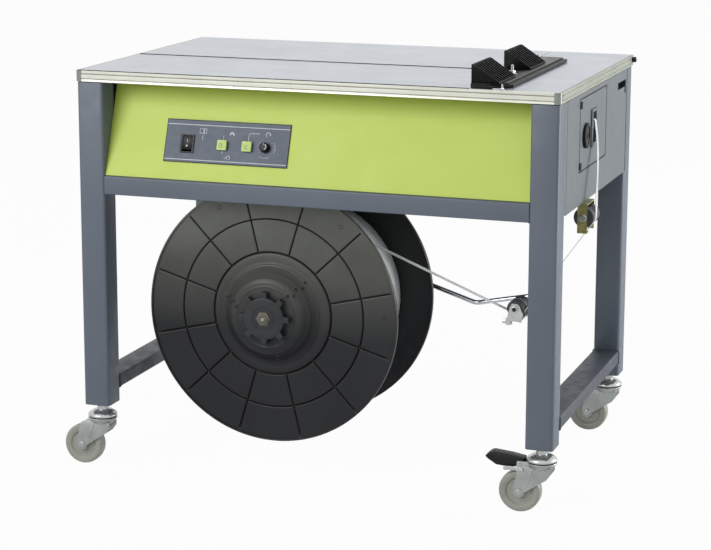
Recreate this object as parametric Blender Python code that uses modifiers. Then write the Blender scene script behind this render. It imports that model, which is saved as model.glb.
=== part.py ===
"""Semi automatic strapping machine on casters, with its strap reel hung under the table.

Run it with: blender --background --python part.py

Metres, +Z up. X runs along the long side, with the strapping head towards +X. The operator stands at -Y.
All places below are counted from the middle of the table; the empty "machine" carries every piece and
sets the table's middle a little off the origin, so that the origin is under the middle of the whole box.
"""
import math

import bmesh
import bpy
from mathutils import Matrix, Vector

# --- Driving dimensions -------------------------------------------------------------------------
TABLE_LENGTH = 0.895
TABLE_DEPTH = 0.580
TABLE_HEIGHT = 0.742

GAP = 0.0003                # between pieces that touch
SHEET = 0.0015              # covers, pan and top plates

TRIM_HEIGHT = 0.020
TRIM_WALL = 0.003
TRIM_FLANGE = 0.030         # how far the edge band's bottom flange reaches in
TRIM_FLANGE_THICK = 0.002

LEG = 0.050
LEG_WALL = 0.002
LEG_END_PLATE = 0.004

FRONT_RAIL_HEIGHT = 0.034
FRONT_RAIL_DROP = 0.224     # from the table's top to the underside of the cabinet rails
SIDE_RAIL_HEIGHT = 0.025
SIDE_RAIL_RISE = 0.025      # from the legs' feet to the lower rails

PANEL_FLANGE = 0.025
PANEL_SHORT = 0.052         # from the table's front and rear edges to those of the side covers

SPLIT_Y = -0.020            # joint between the two top plates
SPLIT_FROM_RIGHT = 0.1603
TOP_WALL = 0.0177           # depth of the top plates' turned-down edges
HINGE_ROD_RADIUS = 0.003

FRONT_PANEL_TILT = math.radians(19.6)

CONTROL_WIDTH = 0.237
CONTROL_HEIGHT = 0.078
CONTROL_X = -0.1665
CONTROL_UP = 0.0715         # middle of the control plate, up the sloped panel
CONTROL_THICK = 0.0015

REEL_X = -0.0944
REEL_DROP = 0.2107          # from the underside of the cabinet rails to the reel's axle
REEL_RADIUS = 0.2385
REEL_INSIDE = 0.208         # between the two flanges
FLANGE_THICK = 0.004
RIM_WIDTH = 0.009
RIM_DEPTH = 0.0035
CORE_RADIUS = 0.100
COIL_RADIUS = 0.176
AXLE_RADIUS = 0.010
HUB_RISE = 0.030            # how far the front hub's cone stands out
HUB_OUTER = 0.096
HUB_INNER = 0.062

STRAP_WIDTH = 0.012
STRAP_THICK = 0.0008

SWING_ROLLER_RADIUS = 0.0155
SWING_ROLLER_LENGTH = 0.046
ARM_ROD_RADIUS = 0.0045

GUIDE_RADIUS = 0.018
GUIDE_PLATE = 0.0025
GUIDE_INSIDE = 0.050        # between the guide bracket's two plates

HATCH_LENGTH = 0.203
HATCH_HEIGHT = 0.126
HATCH_SEAM = 0.001

WHEEL_RADIUS = 0.0375
WHEEL_WIDTH = 0.024
CASTER_TRAIL = 0.037
FORK_SHEET = 0.0025
SWIVEL_RADIUS = 0.027

# --- Places worked out from them ----------------------------------------------------------------
FRONT = -TABLE_DEPTH / 2
CROWN = 2 * WHEEL_RADIUS + 0.0085       # top of a caster's fork, clear of its wheel
RACE_SPLIT = CROWN + 0.0115
RACE_TOP = RACE_SPLIT + 0.0125
LEG_BOTTOM = RACE_TOP + 0.0115
SIDE_RAIL_BOTTOM = LEG_BOTTOM + SIDE_RAIL_RISE
TRIM_BOTTOM = TABLE_HEIGHT - TRIM_HEIGHT
LEG_TOP = TRIM_BOTTOM - GAP
PANEL_OUT_X = TABLE_LENGTH / 2 - GAP
LEG_OUT_X = PANEL_OUT_X - SHEET - GAP
LEG_OUT_Y = TABLE_DEPTH / 2 - SHEET - 2 * GAP
LEG_IN_X = LEG_OUT_X - LEG
LEG_IN_Y = LEG_OUT_Y - LEG
LEG_X = LEG_OUT_X - LEG / 2
LEG_Y = LEG_OUT_Y - LEG / 2
FRONT_RAIL_BOTTOM = TABLE_HEIGHT - FRONT_RAIL_DROP
RAIL_TOP = FRONT_RAIL_BOTTOM + FRONT_RAIL_HEIGHT
PANEL_BOTTOM = FRONT_RAIL_BOTTOM + 0.007
PANEL_EDGE_Y = TABLE_DEPTH / 2 - PANEL_SHORT
SPLIT_X = TABLE_LENGTH / 2 - SPLIT_FROM_RIGHT
TOP_OUT_X = TABLE_LENGTH / 2 - TRIM_WALL - GAP
TOP_FRONT_Y = FRONT + TRIM_WALL + GAP
TOP_REAR_Y = TABLE_DEPTH / 2
TOP_HINGE_Y = TOP_REAR_Y - 0.0068
TOP_HINGE_Z = TABLE_HEIGHT - 0.0085
FRONT_PANEL_FOOT_Y = FRONT + 0.0075

REEL_Z = FRONT_RAIL_BOTTOM - REEL_DROP
REEL_FRONT_Y = FRONT + 0.062
REEL_BACK_Y = REEL_FRONT_Y + 2 * FLANGE_THICK + REEL_INSIDE
STRAP_COIL_Y = REEL_FRONT_Y + 0.081     # where the strap leaves the coil just now
STRAP_Y = FRONT + 0.198
STRAP_PLAY = GAP + STRAP_THICK / 2      # from a roller's face to the strap's middle line
ARM_Y = REEL_BACK_Y + 0.046
SWING_ROLLER_X = LEG_IN_X - 0.0664
SWING_ROLLER_Z = REEL_Z + 0.0172
SWING_PIVOT_Z = REEL_Z + 0.0827
ARM_BEND_X = REEL_X + 0.3084
ARM_BEND_Z = REEL_Z - 0.0138
ARM_END_X = SWING_ROLLER_X + 0.037
ARM_END_Z = REEL_Z + 0.0172

GUIDE_X = PANEL_OUT_X + 0.0033
GUIDE_Z = PANEL_BOTTOM - GUIDE_RADIUS - 0.0074
HATCH_FRONT_Y = FRONT + 0.147
HATCH_REAR_Y = HATCH_FRONT_Y + HATCH_LENGTH
HATCH_TOP = TABLE_HEIGHT - 0.031
HATCH_BOTTOM = HATCH_TOP - HATCH_HEIGHT

MACHINE_X = (LEG_X + CASTER_TRAIL + WHEEL_RADIUS - GUIDE_X - GUIDE_RADIUS) / 2

# --- Collections, materials and basic pieces ----------------------------------------------------
for old in list(bpy.data.objects):
    bpy.data.objects.remove(old, do_unlink=True)

PARTS = bpy.data.collections.new("semi_automatic_strapping_machine")
CUTTERS = bpy.data.collections.new("cutters")
for group in (PARTS, CUTTERS):
    bpy.context.scene.collection.children.link(group)

MACHINE = bpy.data.objects.new("machine", None)
MACHINE.location = (MACHINE_X, 0, 0)
PARTS.objects.link(MACHINE)

PAINT = ((0.115, 0.145, 0.185), 0.45, 0.0)
COVER = ((0.300, 0.325, 0.340), 0.50, 0.0)
STAINLESS = ((0.70, 0.71, 0.73), 0.32, 1.0)
GREEN = ((0.460, 0.640, 0.130), 0.45, 0.0)
ZINC = ((0.62, 0.62, 0.60), 0.35, 1.0)
YELLOW_ZINC = ((0.60, 0.52, 0.25), 0.38, 1.0)
STEEL = ((0.50, 0.50, 0.51), 0.30, 1.0)
BLACK = ((0.018, 0.018, 0.020), 0.50, 0.0)
REEL_BLACK = ((0.030, 0.032, 0.034), 0.45, 0.0)
STRAP_WHITE = ((0.78, 0.79, 0.78), 0.40, 0.0)
WHEEL_GREY = ((0.60, 0.57, 0.50), 0.45, 0.0)
BUTTON_GREEN = ((0.50, 0.68, 0.16), 0.40, 0.0)
PLATE_GREY = ((0.20, 0.21, 0.22), 0.50, 0.0)
CAST = ((0.22, 0.24, 0.25), 0.60, 0.6)


def give_finish(obj, finish):
    """Give an object a material of its own."""
    colour, roughness, metallic = finish
    mat = bpy.data.materials.new(obj.name + "_finish")
    mat.use_nodes = True
    shader = mat.node_tree.nodes["Principled BSDF"]
    shader.inputs["Base Color"].default_value = (*colour, 1.0)
    shader.inputs["Roughness"].default_value = roughness
    shader.inputs["Metallic"].default_value = metallic
    mat.diffuse_color = (*colour, 1.0)
    obj.data.materials.append(mat)


def add_object(name, data, finish, origin, parent=MACHINE):
    """Link a new object; without a finish it is a helper that cuts or joins."""
    obj = bpy.data.objects.new(name, data)
    obj.location = origin
    obj.parent = parent
    if finish is None:
        CUTTERS.objects.link(obj)
        obj.hide_render = True
        obj.display_type = "WIRE"
    else:
        PARTS.objects.link(obj)
        give_finish(obj, finish)
    return obj


def to_mesh(name, bm):
    """Turn a bmesh into a mesh and free it."""
    mesh = bpy.data.meshes.new(name)
    bm.to_mesh(mesh)
    bm.free()
    return mesh


def add_box(name, low, high, finish=None, origin=None, parent=MACHINE, bevel=0.0):
    """A box from its lowest to its highest corner."""
    low = Vector(low)
    high = Vector(high)
    centre = (low + high) / 2
    origin = centre if origin is None else Vector(origin)
    bm = bmesh.new()
    bmesh.ops.create_cube(bm, size=1.0)
    bmesh.ops.scale(bm, vec=high - low, verts=bm.verts)
    bmesh.ops.translate(bm, vec=centre - origin, verts=bm.verts)
    obj = add_object(name, to_mesh(name, bm), finish, origin, parent)
    if bevel:
        add_bevel(obj, bevel)
    return obj


def add_bevel(obj, width, segments=1):
    """Round the sharp edges."""
    mod = obj.modifiers.new("rounded_edges", "BEVEL")
    mod.width = width
    mod.segments = segments
    mod.limit_method = "ANGLE"
    mod.angle_limit = math.radians(40)
    return mod


AXIS_TURN = {
    "x": Matrix.Rotation(math.radians(90), 3, "Y"),
    "y": Matrix.Rotation(math.radians(-90), 3, "X"),
    "z": Matrix.Identity(3),
}


def add_rod(name, radius, start, end, along, finish=None, origin=None, parent=MACHINE, sides=16):
    """A cylinder along one axis; start and end are its two end centres."""
    start = Vector(start)
    end = Vector(end)
    centre = (start + end) / 2
    origin = centre if origin is None else Vector(origin)
    bm = bmesh.new()
    bmesh.ops.create_cone(bm, cap_ends=True, segments=sides, radius1=radius, radius2=radius,
                          depth=(end - start).length)
    bmesh.ops.rotate(bm, cent=(0, 0, 0), matrix=AXIS_TURN[along], verts=bm.verts)
    bmesh.ops.translate(bm, vec=centre - origin, verts=bm.verts)
    return add_object(name, to_mesh(name, bm), finish, origin, parent)


def add_turned(name, profile, along, origin, finish=None, parent=MACHINE, steps=28, closed=False):
    """A turned piece: profile points are (radius, place along the axis), counted from the origin.

    An open profile starts and ends on the axis. A closed one is a ring.
    """
    turn = AXIS_TURN[along]
    mesh = bpy.data.meshes.new(name)
    count = len(profile)
    edges = [(i, i + 1) for i in range(count - 1)]
    if closed:
        edges.append((count - 1, 0))
    mesh.from_pydata([(radius, 0.0, place) for radius, place in profile], edges, [])
    obj = add_object(name, mesh, finish, origin, parent)
    obj.rotation_euler = turn.to_euler()
    mod = obj.modifiers.new("turned", "SCREW")
    mod.axis = "Z"
    mod.angle = math.tau
    mod.steps = steps
    mod.render_steps = steps
    mod.use_merge_vertices = True
    mod.merge_threshold = 0.00001
    area = sum(a[0] * b[1] - b[0] * a[1] for a, b in zip(profile, profile[1:] + profile[:1]))
    mod.use_normal_flip = area > 0
    return obj


def combine(obj, tool, operation):
    """Cut a helper from an object, or join it on."""
    mod = obj.modifiers.new(operation.lower() + "_" + tool.name, "BOOLEAN")
    mod.operation = operation
    mod.solver = "EXACT"
    mod.object = tool
    return obj


def cut(obj, *tools):
    for tool in tools:
        combine(obj, tool, "DIFFERENCE")
    return obj


def join(obj, *tools):
    for tool in tools:
        combine(obj, tool, "UNION")
    return obj


def add_extruded(name, outline, plane, low, high, finish=None, origin=(0, 0, 0), parent=MACHINE):
    """A flat outline given thickness. plane "xz" is extruded along Y, "yz" along X, "xy" along Z."""
    place = {
        "xz": lambda a, b, c: (a, c, b),
        "yz": lambda a, b, c: (c, a, b),
        "xy": lambda a, b, c: (a, b, c),
    }[plane]
    origin = Vector(origin)
    bm = bmesh.new()
    corners = [bm.verts.new(Vector(place(a, b, low)) - origin) for a, b in outline]
    face = bm.faces.new(corners)
    grown = bmesh.ops.extrude_face_region(bm, geom=[face])
    moved = [item for item in grown["geom"] if isinstance(item, bmesh.types.BMVert)]
    bmesh.ops.translate(bm, vec=place(0, 0, high - low), verts=moved)
    bmesh.ops.recalc_face_normals(bm, faces=bm.faces)
    return add_object(name, to_mesh(name, bm), finish, origin, parent)


def arc(centre, radius, start, end, count):
    """Points on an arc, angles in degrees."""
    return [
        (centre[0] + radius * math.cos(math.radians(start + (end - start) * i / count)),
         centre[1] + radius * math.sin(math.radians(start + (end - start) * i / count)))
        for i in range(count + 1)
    ]


# --- Frame: legs, rails -------------------------------------------------------------------------
SIDES = {"left": -1, "right": 1}
ENDS = {"front": -1, "rear": 1}
STEM_RADIUS = 0.005


def build_legs():
    """Four square tubes with an end plate that takes the caster's stem."""
    for end, sy in ENDS.items():
        for side, sx in SIDES.items():
            x = sx * LEG_X
            y = sy * LEG_Y
            half = LEG / 2
            leg = add_box(f"leg_{end}_{side}", (x - half, y - half, LEG_BOTTOM),
                          (x + half, y + half, LEG_TOP), PAINT, bevel=0.003)
            inner = half - LEG_WALL
            bore = add_box(f"leg_bore_{end}_{side}", (x - inner, y - inner, LEG_BOTTOM + LEG_END_PLATE),
                           (x + inner, y + inner, LEG_TOP + 0.01))
            hole = add_rod(f"stem_hole_{end}_{side}", STEM_RADIUS + GAP, (x, y, LEG_BOTTOM - 0.01),
                           (x, y, LEG_BOTTOM + 0.01), "z", sides=16)
            cut(leg, bore, hole)


def build_rails():
    """Low side rails lie flat between the legs; the front and rear rails carry the cabinet."""
    wall = LEG_WALL
    reach_y = LEG_IN_Y - GAP
    low_z = SIDE_RAIL_BOTTOM
    high_z = low_z + SIDE_RAIL_HEIGHT
    for side, sx in SIDES.items():
        x = sx * LEG_X
        half = LEG / 2
        rail = add_box(f"lower_rail_{side}", (x - half, -reach_y, low_z), (x + half, reach_y, high_z),
                       PAINT, bevel=0.0015)
        bore = add_box(f"lower_bore_{side}", (x - half + wall, -reach_y - 0.01, low_z + wall),
                       (x + half - wall, reach_y + 0.01, high_z - wall))
        cut(rail, bore)
    reach_x = LEG_IN_X - GAP
    for end, sy in ENDS.items():
        near = sy * LEG_OUT_Y
        far = sy * LEG_IN_Y
        low_y = min(near, far)
        high_y = max(near, far)
        rail = add_box(f"cabinet_rail_{end}", (-reach_x, low_y, FRONT_RAIL_BOTTOM),
                       (reach_x, high_y, RAIL_TOP), PAINT, bevel=0.0015)
        bore = add_box(f"cabinet_bore_{end}", (-reach_x - 0.01, low_y + wall, FRONT_RAIL_BOTTOM + wall),
                       (reach_x + 0.01, high_y - wall, RAIL_TOP - wall))
        cut(rail, bore)


# --- Table top: edge band, two top plates, hinge rod --------------------------------------------
def rod_hole(name, from_x, to_x):
    """The hole that the hinge rod runs through."""
    return add_rod(name, HINGE_ROD_RADIUS + GAP, (from_x, TOP_HINGE_Y, TOP_HINGE_Z),
                   (to_x, TOP_HINGE_Y, TOP_HINGE_Z), "x", sides=16)


def add_tray(name, low, high, finish):
    """A thin plate with all four edges turned down: a box open below, given a wall inwards."""
    low = Vector(low)
    high = Vector(high)
    centre = (low + high) / 2
    bm = bmesh.new()
    bmesh.ops.create_cube(bm, size=1.0)
    bottom = [face for face in bm.faces if face.normal.z < -0.5]
    bmesh.ops.delete(bm, geom=bottom, context="FACES_ONLY")
    bmesh.ops.scale(bm, vec=high - low, verts=bm.verts)
    obj = add_object(name, to_mesh(name, bm), finish, centre)
    mod = obj.modifiers.new("sheet", "SOLIDIFY")
    mod.thickness = SHEET
    mod.offset = -1.0
    mod.use_even_offset = True
    return obj


def build_edge_band():
    """The bright band on the front and both ends, with a flange that rests on the legs."""
    half_x = TABLE_LENGTH / 2
    half_y = TABLE_DEPTH / 2
    band = add_box("table_edge_band", (-half_x, -half_y, TRIM_BOTTOM), (half_x, half_y, TABLE_HEIGHT),
                   STAINLESS)
    well = add_box("band_well", (-half_x + TRIM_WALL, -half_y + TRIM_WALL, TRIM_BOTTOM + TRIM_FLANGE_THICK),
                   (half_x - TRIM_WALL, half_y + 0.01, TABLE_HEIGHT + 0.01))
    opening = add_box("band_opening", (-half_x + TRIM_FLANGE, -half_y + TRIM_FLANGE, TRIM_BOTTOM - 0.01),
                      (half_x - TRIM_FLANGE, half_y + 0.02, TABLE_HEIGHT + 0.02))
    swing_room = add_box("band_swing_room", (-half_x + TRIM_WALL, TOP_HINGE_Y - 0.020, TRIM_BOTTOM - 0.02),
                         (half_x - TRIM_WALL, half_y + 0.03, TABLE_HEIGHT + 0.03))
    cut(band, well, opening, swing_room, rod_hole("band_rod_hole", -half_x - 0.01, half_x + 0.01))


HEAD_LEFT = SPLIT_X + 0.0013
HEAD_RIGHT = HEAD_LEFT + 0.0675
HEAD_FRONT = FRONT + 0.0080
HEAD_REAR = HEAD_FRONT + 0.4120
HEAD_THICK = 0.0085
WINDOW_LOW = (HEAD_LEFT + 0.0040, HEAD_FRONT + 0.0420)
WINDOW_HIGH = (HEAD_RIGHT - 0.0060, HEAD_REAR - 0.0400)


def build_top_plates():
    """The L-shaped fixed plate, and the plate behind it that lifts on its rear edge."""
    wall_foot = TABLE_HEIGHT - TOP_WALL
    fixed = add_tray("top_plate_fixed", (-TOP_OUT_X, TOP_FRONT_Y, wall_foot),
                     (TOP_OUT_X, TOP_REAR_Y, TABLE_HEIGHT), STAINLESS)
    lift_side = add_box("lift_side_room", (-TOP_OUT_X - 0.01, SPLIT_Y, wall_foot - 0.01),
                        (SPLIT_X + HATCH_SEAM, TOP_REAR_Y + 0.01, TABLE_HEIGHT + 0.01))
    window = add_box("press_window", (*WINDOW_LOW, wall_foot - 0.02), (*WINDOW_HIGH, TABLE_HEIGHT + 0.02))
    cut(fixed, lift_side, window, rod_hole("fixed_rod_hole", SPLIT_X + 0.02, TOP_OUT_X + 0.01))
    lifting = add_tray("top_plate_lifting", (-TOP_OUT_X, SPLIT_Y + HATCH_SEAM, wall_foot),
                       (SPLIT_X, TOP_REAR_Y, TABLE_HEIGHT), STAINLESS)
    for number, x in enumerate((0.1242 - TOP_OUT_X, SPLIT_X - 0.1072), 1):
        knuckle = add_box(f"top_knuckle_{number}", (x, TOP_HINGE_Y - 0.006, TOP_HINGE_Z - 0.006),
                          (x + 0.04, TOP_REAR_Y - SHEET / 2, TABLE_HEIGHT - SHEET / 2))
        join(lifting, knuckle)
    cut(lifting, rod_hole("lifting_rod_hole", -TOP_OUT_X - 0.01, SPLIT_X + 0.01))
    axis = Vector((0, TOP_HINGE_Y, TOP_HINGE_Z))
    lifting.data.transform(Matrix.Translation(lifting.location - axis))
    lifting.location = axis
    end = TABLE_LENGTH / 2
    rod = add_rod("top_hinge_rod", HINGE_ROD_RADIUS, (-end, TOP_HINGE_Y, TOP_HINGE_Z),
                  (end + 0.004, TOP_HINGE_Y, TOP_HINGE_Z), "x", BLACK, origin=axis, sides=16)
    cap = add_rod("rod_cap", 0.0052, (end + GAP, TOP_HINGE_Y, TOP_HINGE_Z),
                  (end + 0.0065, TOP_HINGE_Y, TOP_HINGE_Z), "x", sides=16)
    join(rod, cap)


# --- Cabinet covers -----------------------------------------------------------------------------
SLOPE = bpy.data.objects.new("front_slope", None)
SLOPE.location = (0, FRONT_PANEL_FOOT_Y, RAIL_TOP + GAP)
SLOPE.rotation_euler = (-FRONT_PANEL_TILT, 0, 0)
SLOPE.parent = MACHINE
PARTS.objects.link(SLOPE)

KNOB_X = -0.0925
KNOB_UP = 0.0667
BUTTON_X = (-0.1738, -0.1264)
BUTTON_UP = 0.0667
BUTTON_SIDE = 0.0185
BUTTON_TRAVEL = 0.002
BUTTON_STEM = 0.006
ROCKER_X = -0.2419
ROCKER_UP = 0.0665
ROCKER_WIDTH = 0.0186
ROCKER_HEIGHT = 0.0250
ROCKER_THROW = math.radians(8)
BEZEL = (0.026, 0.033)


def control_holes(prefix):
    """Holes in the slope for the rocker, the two button stems and the knob's spindle."""
    tools = []
    half_x = ROCKER_WIDTH / 2 + GAP
    half_z = ROCKER_HEIGHT / 2 + 0.0019
    tools.append(add_box(prefix + "_rocker_hole", (ROCKER_X - half_x, -0.02, ROCKER_UP - half_z),
                         (ROCKER_X + half_x, 0.02, ROCKER_UP + half_z), parent=SLOPE))
    for number, x in enumerate(BUTTON_X, 1):
        tools.append(add_rod(f"{prefix}_button_hole_{number}", BUTTON_STEM + GAP, (x, -0.02, BUTTON_UP),
                             (x, 0.02, BUTTON_UP), "y", parent=SLOPE))
    tools.append(add_rod(prefix + "_knob_hole", 0.003 + GAP, (KNOB_X, -0.02, KNOB_UP),
                         (KNOB_X, 0.02, KNOB_UP), "y", parent=SLOPE, sides=16))
    return tools


def build_front_panel():
    """The sloped green cover between the front legs, standing on the front rail."""
    reach = LEG_IN_X - GAP
    foot = SHEET * math.tan(FRONT_PANEL_TILT)
    head = (LEG_TOP - RAIL_TOP - GAP) / math.cos(FRONT_PANEL_TILT)
    panel = add_box("front_panel", (-reach, 0, foot), (reach, SHEET, head), GREEN, parent=SLOPE)
    cut(panel, *control_holes("panel"))


def hatch_outline(grow):
    """The hatch's outline, with its two rear corners rounded; grow makes the hole around it."""
    radius = 0.008
    front = HATCH_FRONT_Y + HATCH_SEAM / 2 - grow
    rear = HATCH_REAR_Y + grow
    low = HATCH_BOTTOM - grow
    high = HATCH_TOP + grow
    points = [(front, high), (front, low)]
    points += arc((rear - radius, low + radius), radius, -90, 0, 5)
    points += arc((rear - radius, high - radius), radius, 0, 90, 5)
    return points


def build_side_covers():
    """Sheets from leg to leg, lapping their outer faces, each with a flange turned in along its bottom."""
    out = PANEL_OUT_X
    for side, sx in SIDES.items():
        xs = sorted((sx * out, sx * (out - SHEET)))
        cover = add_box(f"{side}_cover", (xs[0], -PANEL_EDGE_Y, PANEL_BOTTOM),
                        (xs[1], PANEL_EDGE_Y, LEG_TOP), COVER)
        xs = sorted((sx * (out - SHEET / 2), sx * (out - PANEL_FLANGE)))
        flange = add_box(f"{side}_cover_flange", (xs[0], -LEG_IN_Y + GAP, PANEL_BOTTOM),
                         (xs[1], LEG_IN_Y - 2 * GAP, PANEL_BOTTOM + SHEET))
        join(cover, flange)
        if side == "right":
            hole = add_extruded("hatch_hole", hatch_outline(HATCH_SEAM), "yz", out - 0.01, out + 0.01)
            rear = PANEL_EDGE_Y - 0.012
            high = TABLE_HEIGHT - 0.039
            slot = add_box("cover_slot", (out - 0.01, rear - 0.068, high - 0.013), (out + 0.01, rear, high))
            slot_leg = add_box("cover_slot_leg", (out - 0.012, rear - 0.010, high - 0.025),
                               (out + 0.012, rear, high - 0.0075))
            join(slot, slot_leg)
            cut(cover, hole, slot)


def build_rear_cover_and_pan():
    """The rear cover stands on the rear rail, and the pan lies on both rails over the reel."""
    reach = LEG_IN_X - GAP
    add_box("rear_cover", (-reach, LEG_OUT_Y - 0.008, RAIL_TOP + GAP),
            (reach, LEG_OUT_Y - 0.008 + SHEET, LEG_TOP), COVER)
    pan_y = LEG_OUT_Y - 0.026
    add_box("floor_pan", (-reach, -pan_y, RAIL_TOP + GAP), (reach, pan_y, RAIL_TOP + GAP + SHEET), COVER)


# --- Controls on the slope ----------------------------------------------------------------------
def build_controls():
    """Control plate with its rocker, two push buttons and dial knob."""
    face = -GAP - CONTROL_THICK
    plate = add_box("control_plate", (CONTROL_X - CONTROL_WIDTH / 2, face, CONTROL_UP - CONTROL_HEIGHT / 2),
                    (CONTROL_X + CONTROL_WIDTH / 2, -GAP, CONTROL_UP + CONTROL_HEIGHT / 2),
                    PLATE_GREY, parent=SLOPE)
    bezel = add_box("rocker_bezel", (ROCKER_X - BEZEL[0] / 2, face - 0.002, ROCKER_UP - BEZEL[1] / 2),
                    (ROCKER_X + BEZEL[0] / 2, -GAP - CONTROL_THICK / 2, ROCKER_UP + BEZEL[1] / 2),
                    parent=SLOPE)
    join(plate, bezel)
    cut(plate, *control_holes("plate"))

    tall = ROCKER_HEIGHT / 2
    shape = [(-0.0075, tall), (-0.0050, 0.0), (-0.0075, -tall), (0.0050, 0.002 - tall),
             (0.0050, tall - 0.002)]
    turn = Matrix.Rotation(-ROCKER_THROW, 2)
    shape = [tuple(turn @ Vector(point)) for point in shape]
    axis = Vector((ROCKER_X, 0.0020, ROCKER_UP))
    outline = [(axis.y + y, axis.z + z) for y, z in shape]
    add_extruded("power_rocker", outline, "yz", ROCKER_X - ROCKER_WIDTH / 2, ROCKER_X + ROCKER_WIDTH / 2,
                 BLACK, origin=axis, parent=SLOPE)

    half = BUTTON_SIDE / 2
    for name, x in zip(("feed_button", "reverse_button"), BUTTON_X):
        back = face - BUTTON_TRAVEL - GAP
        cap = add_box(name, (x - half, back - 0.004, BUTTON_UP - half), (x + half, back, BUTTON_UP + half),
                      BUTTON_GREEN, parent=SLOPE, bevel=0.0012)
        stem = add_rod(name + "_stem", BUTTON_STEM, (x, back - 0.001, BUTTON_UP), (x, 0.010, BUTTON_UP),
                       "y", parent=SLOPE)
        join(cap, stem)

    profile = [(0, 0.010), (0.003, 0.010), (0.003, face - GAP), (0.0108, face - GAP), (0.0102, face - 0.010),
               (0.0090, face - 0.0115), (0, face - 0.0115)]
    knob = add_turned("timer_knob", profile, "y", (KNOB_X, 0, KNOB_UP), BLACK, parent=SLOPE)
    pointer = add_box("knob_pointer", (KNOB_X - 0.001, face - 0.0125, KNOB_UP),
                      (KNOB_X + 0.001, face - 0.008, KNOB_UP + 0.009), parent=SLOPE)
    join(knob, pointer)


# --- Strapping head on the table ----------------------------------------------------------------
STOP_LENGTH = 0.105
STOP_REACH = 0.050
STOP_RISE = 0.032
STOP_RIBS = 9
STOP_SHEET = 0.003


def build_head():
    """The black head plate with two ribbed package stops along its left edge."""
    foot = TABLE_HEIGHT + GAP
    corner = 0.026
    outline = [(HEAD_LEFT, HEAD_FRONT), (HEAD_RIGHT - corner, HEAD_FRONT), (HEAD_RIGHT, HEAD_FRONT + corner),
               (HEAD_RIGHT, HEAD_REAR), (HEAD_LEFT, HEAD_REAR)]
    plate = add_extruded("head_plate", outline, "xy", foot, foot + HEAD_THICK, BLACK)
    add_bevel(plate, 0.001)
    stop_foot = foot + HEAD_THICK + GAP
    build_stop("package_stop_front", HEAD_FRONT + 0.0005, stop_foot)
    build_stop("package_stop_rear", HEAD_FRONT + 0.2100, stop_foot)


def build_stop(name, start, foot):
    """A package stop: a flat face towards the package, held up behind by a row of ribs."""
    left = HEAD_LEFT + 0.0005
    outline = [(left, foot), (left + STOP_REACH, foot), (left + STOP_REACH, foot + STOP_SHEET),
               (left + 0.006, foot + STOP_RISE), (left, foot + STOP_RISE)]
    stop = add_extruded(name, outline, "xz", start, start + STOP_LENGTH, BLACK)
    pitch = (STOP_LENGTH - STOP_SHEET) / (STOP_RIBS - 1)
    pockets = bmesh.new()
    for i in range(STOP_RIBS - 1):
        low = Vector((left + STOP_SHEET, start + STOP_SHEET + i * pitch, foot + STOP_SHEET))
        size = Vector((STOP_REACH, pitch - STOP_SHEET, STOP_RISE))
        made = bmesh.ops.create_cube(pockets, size=1.0)["verts"]
        bmesh.ops.scale(pockets, vec=size, verts=made)
        bmesh.ops.translate(pockets, vec=low + size / 2, verts=made)
    tool = add_object(name + "_pockets", to_mesh(name + "_pockets", pockets), None, (0, 0, 0))
    cut(stop, tool)


# --- Hatch on the right cover -------------------------------------------------------------------
HATCH_AXIS_X = PANEL_OUT_X + 0.0025
TENSION_Y = HATCH_FRONT_Y + 0.0405
TENSION_Z = HATCH_BOTTOM + 0.0585
TENSION_RADIUS = 0.0225
INLET_Y = HATCH_FRONT_Y + 0.1010
INLET_BOTTOM = HATCH_BOTTOM + 0.0310
INLET_HEIGHT = 0.0675
INLET_RIM = 0.0025
INLET_REACH = STRAP_WIDTH / 2 + 0.0140      # half the inlet's width
INLET_BAR_TOP = INLET_BOTTOM + 0.0445       # the strap bends over this bar
INLET_TOP = INLET_BOTTOM + 0.0625
INLET_FACE = 0.0028         # how far the inlet stands out from the hatch
INLET_BEND = 0.0040
INLET_Z = INLET_BAR_TOP + GAP + INLET_BEND
FEED_RADIUS = 0.022


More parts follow.
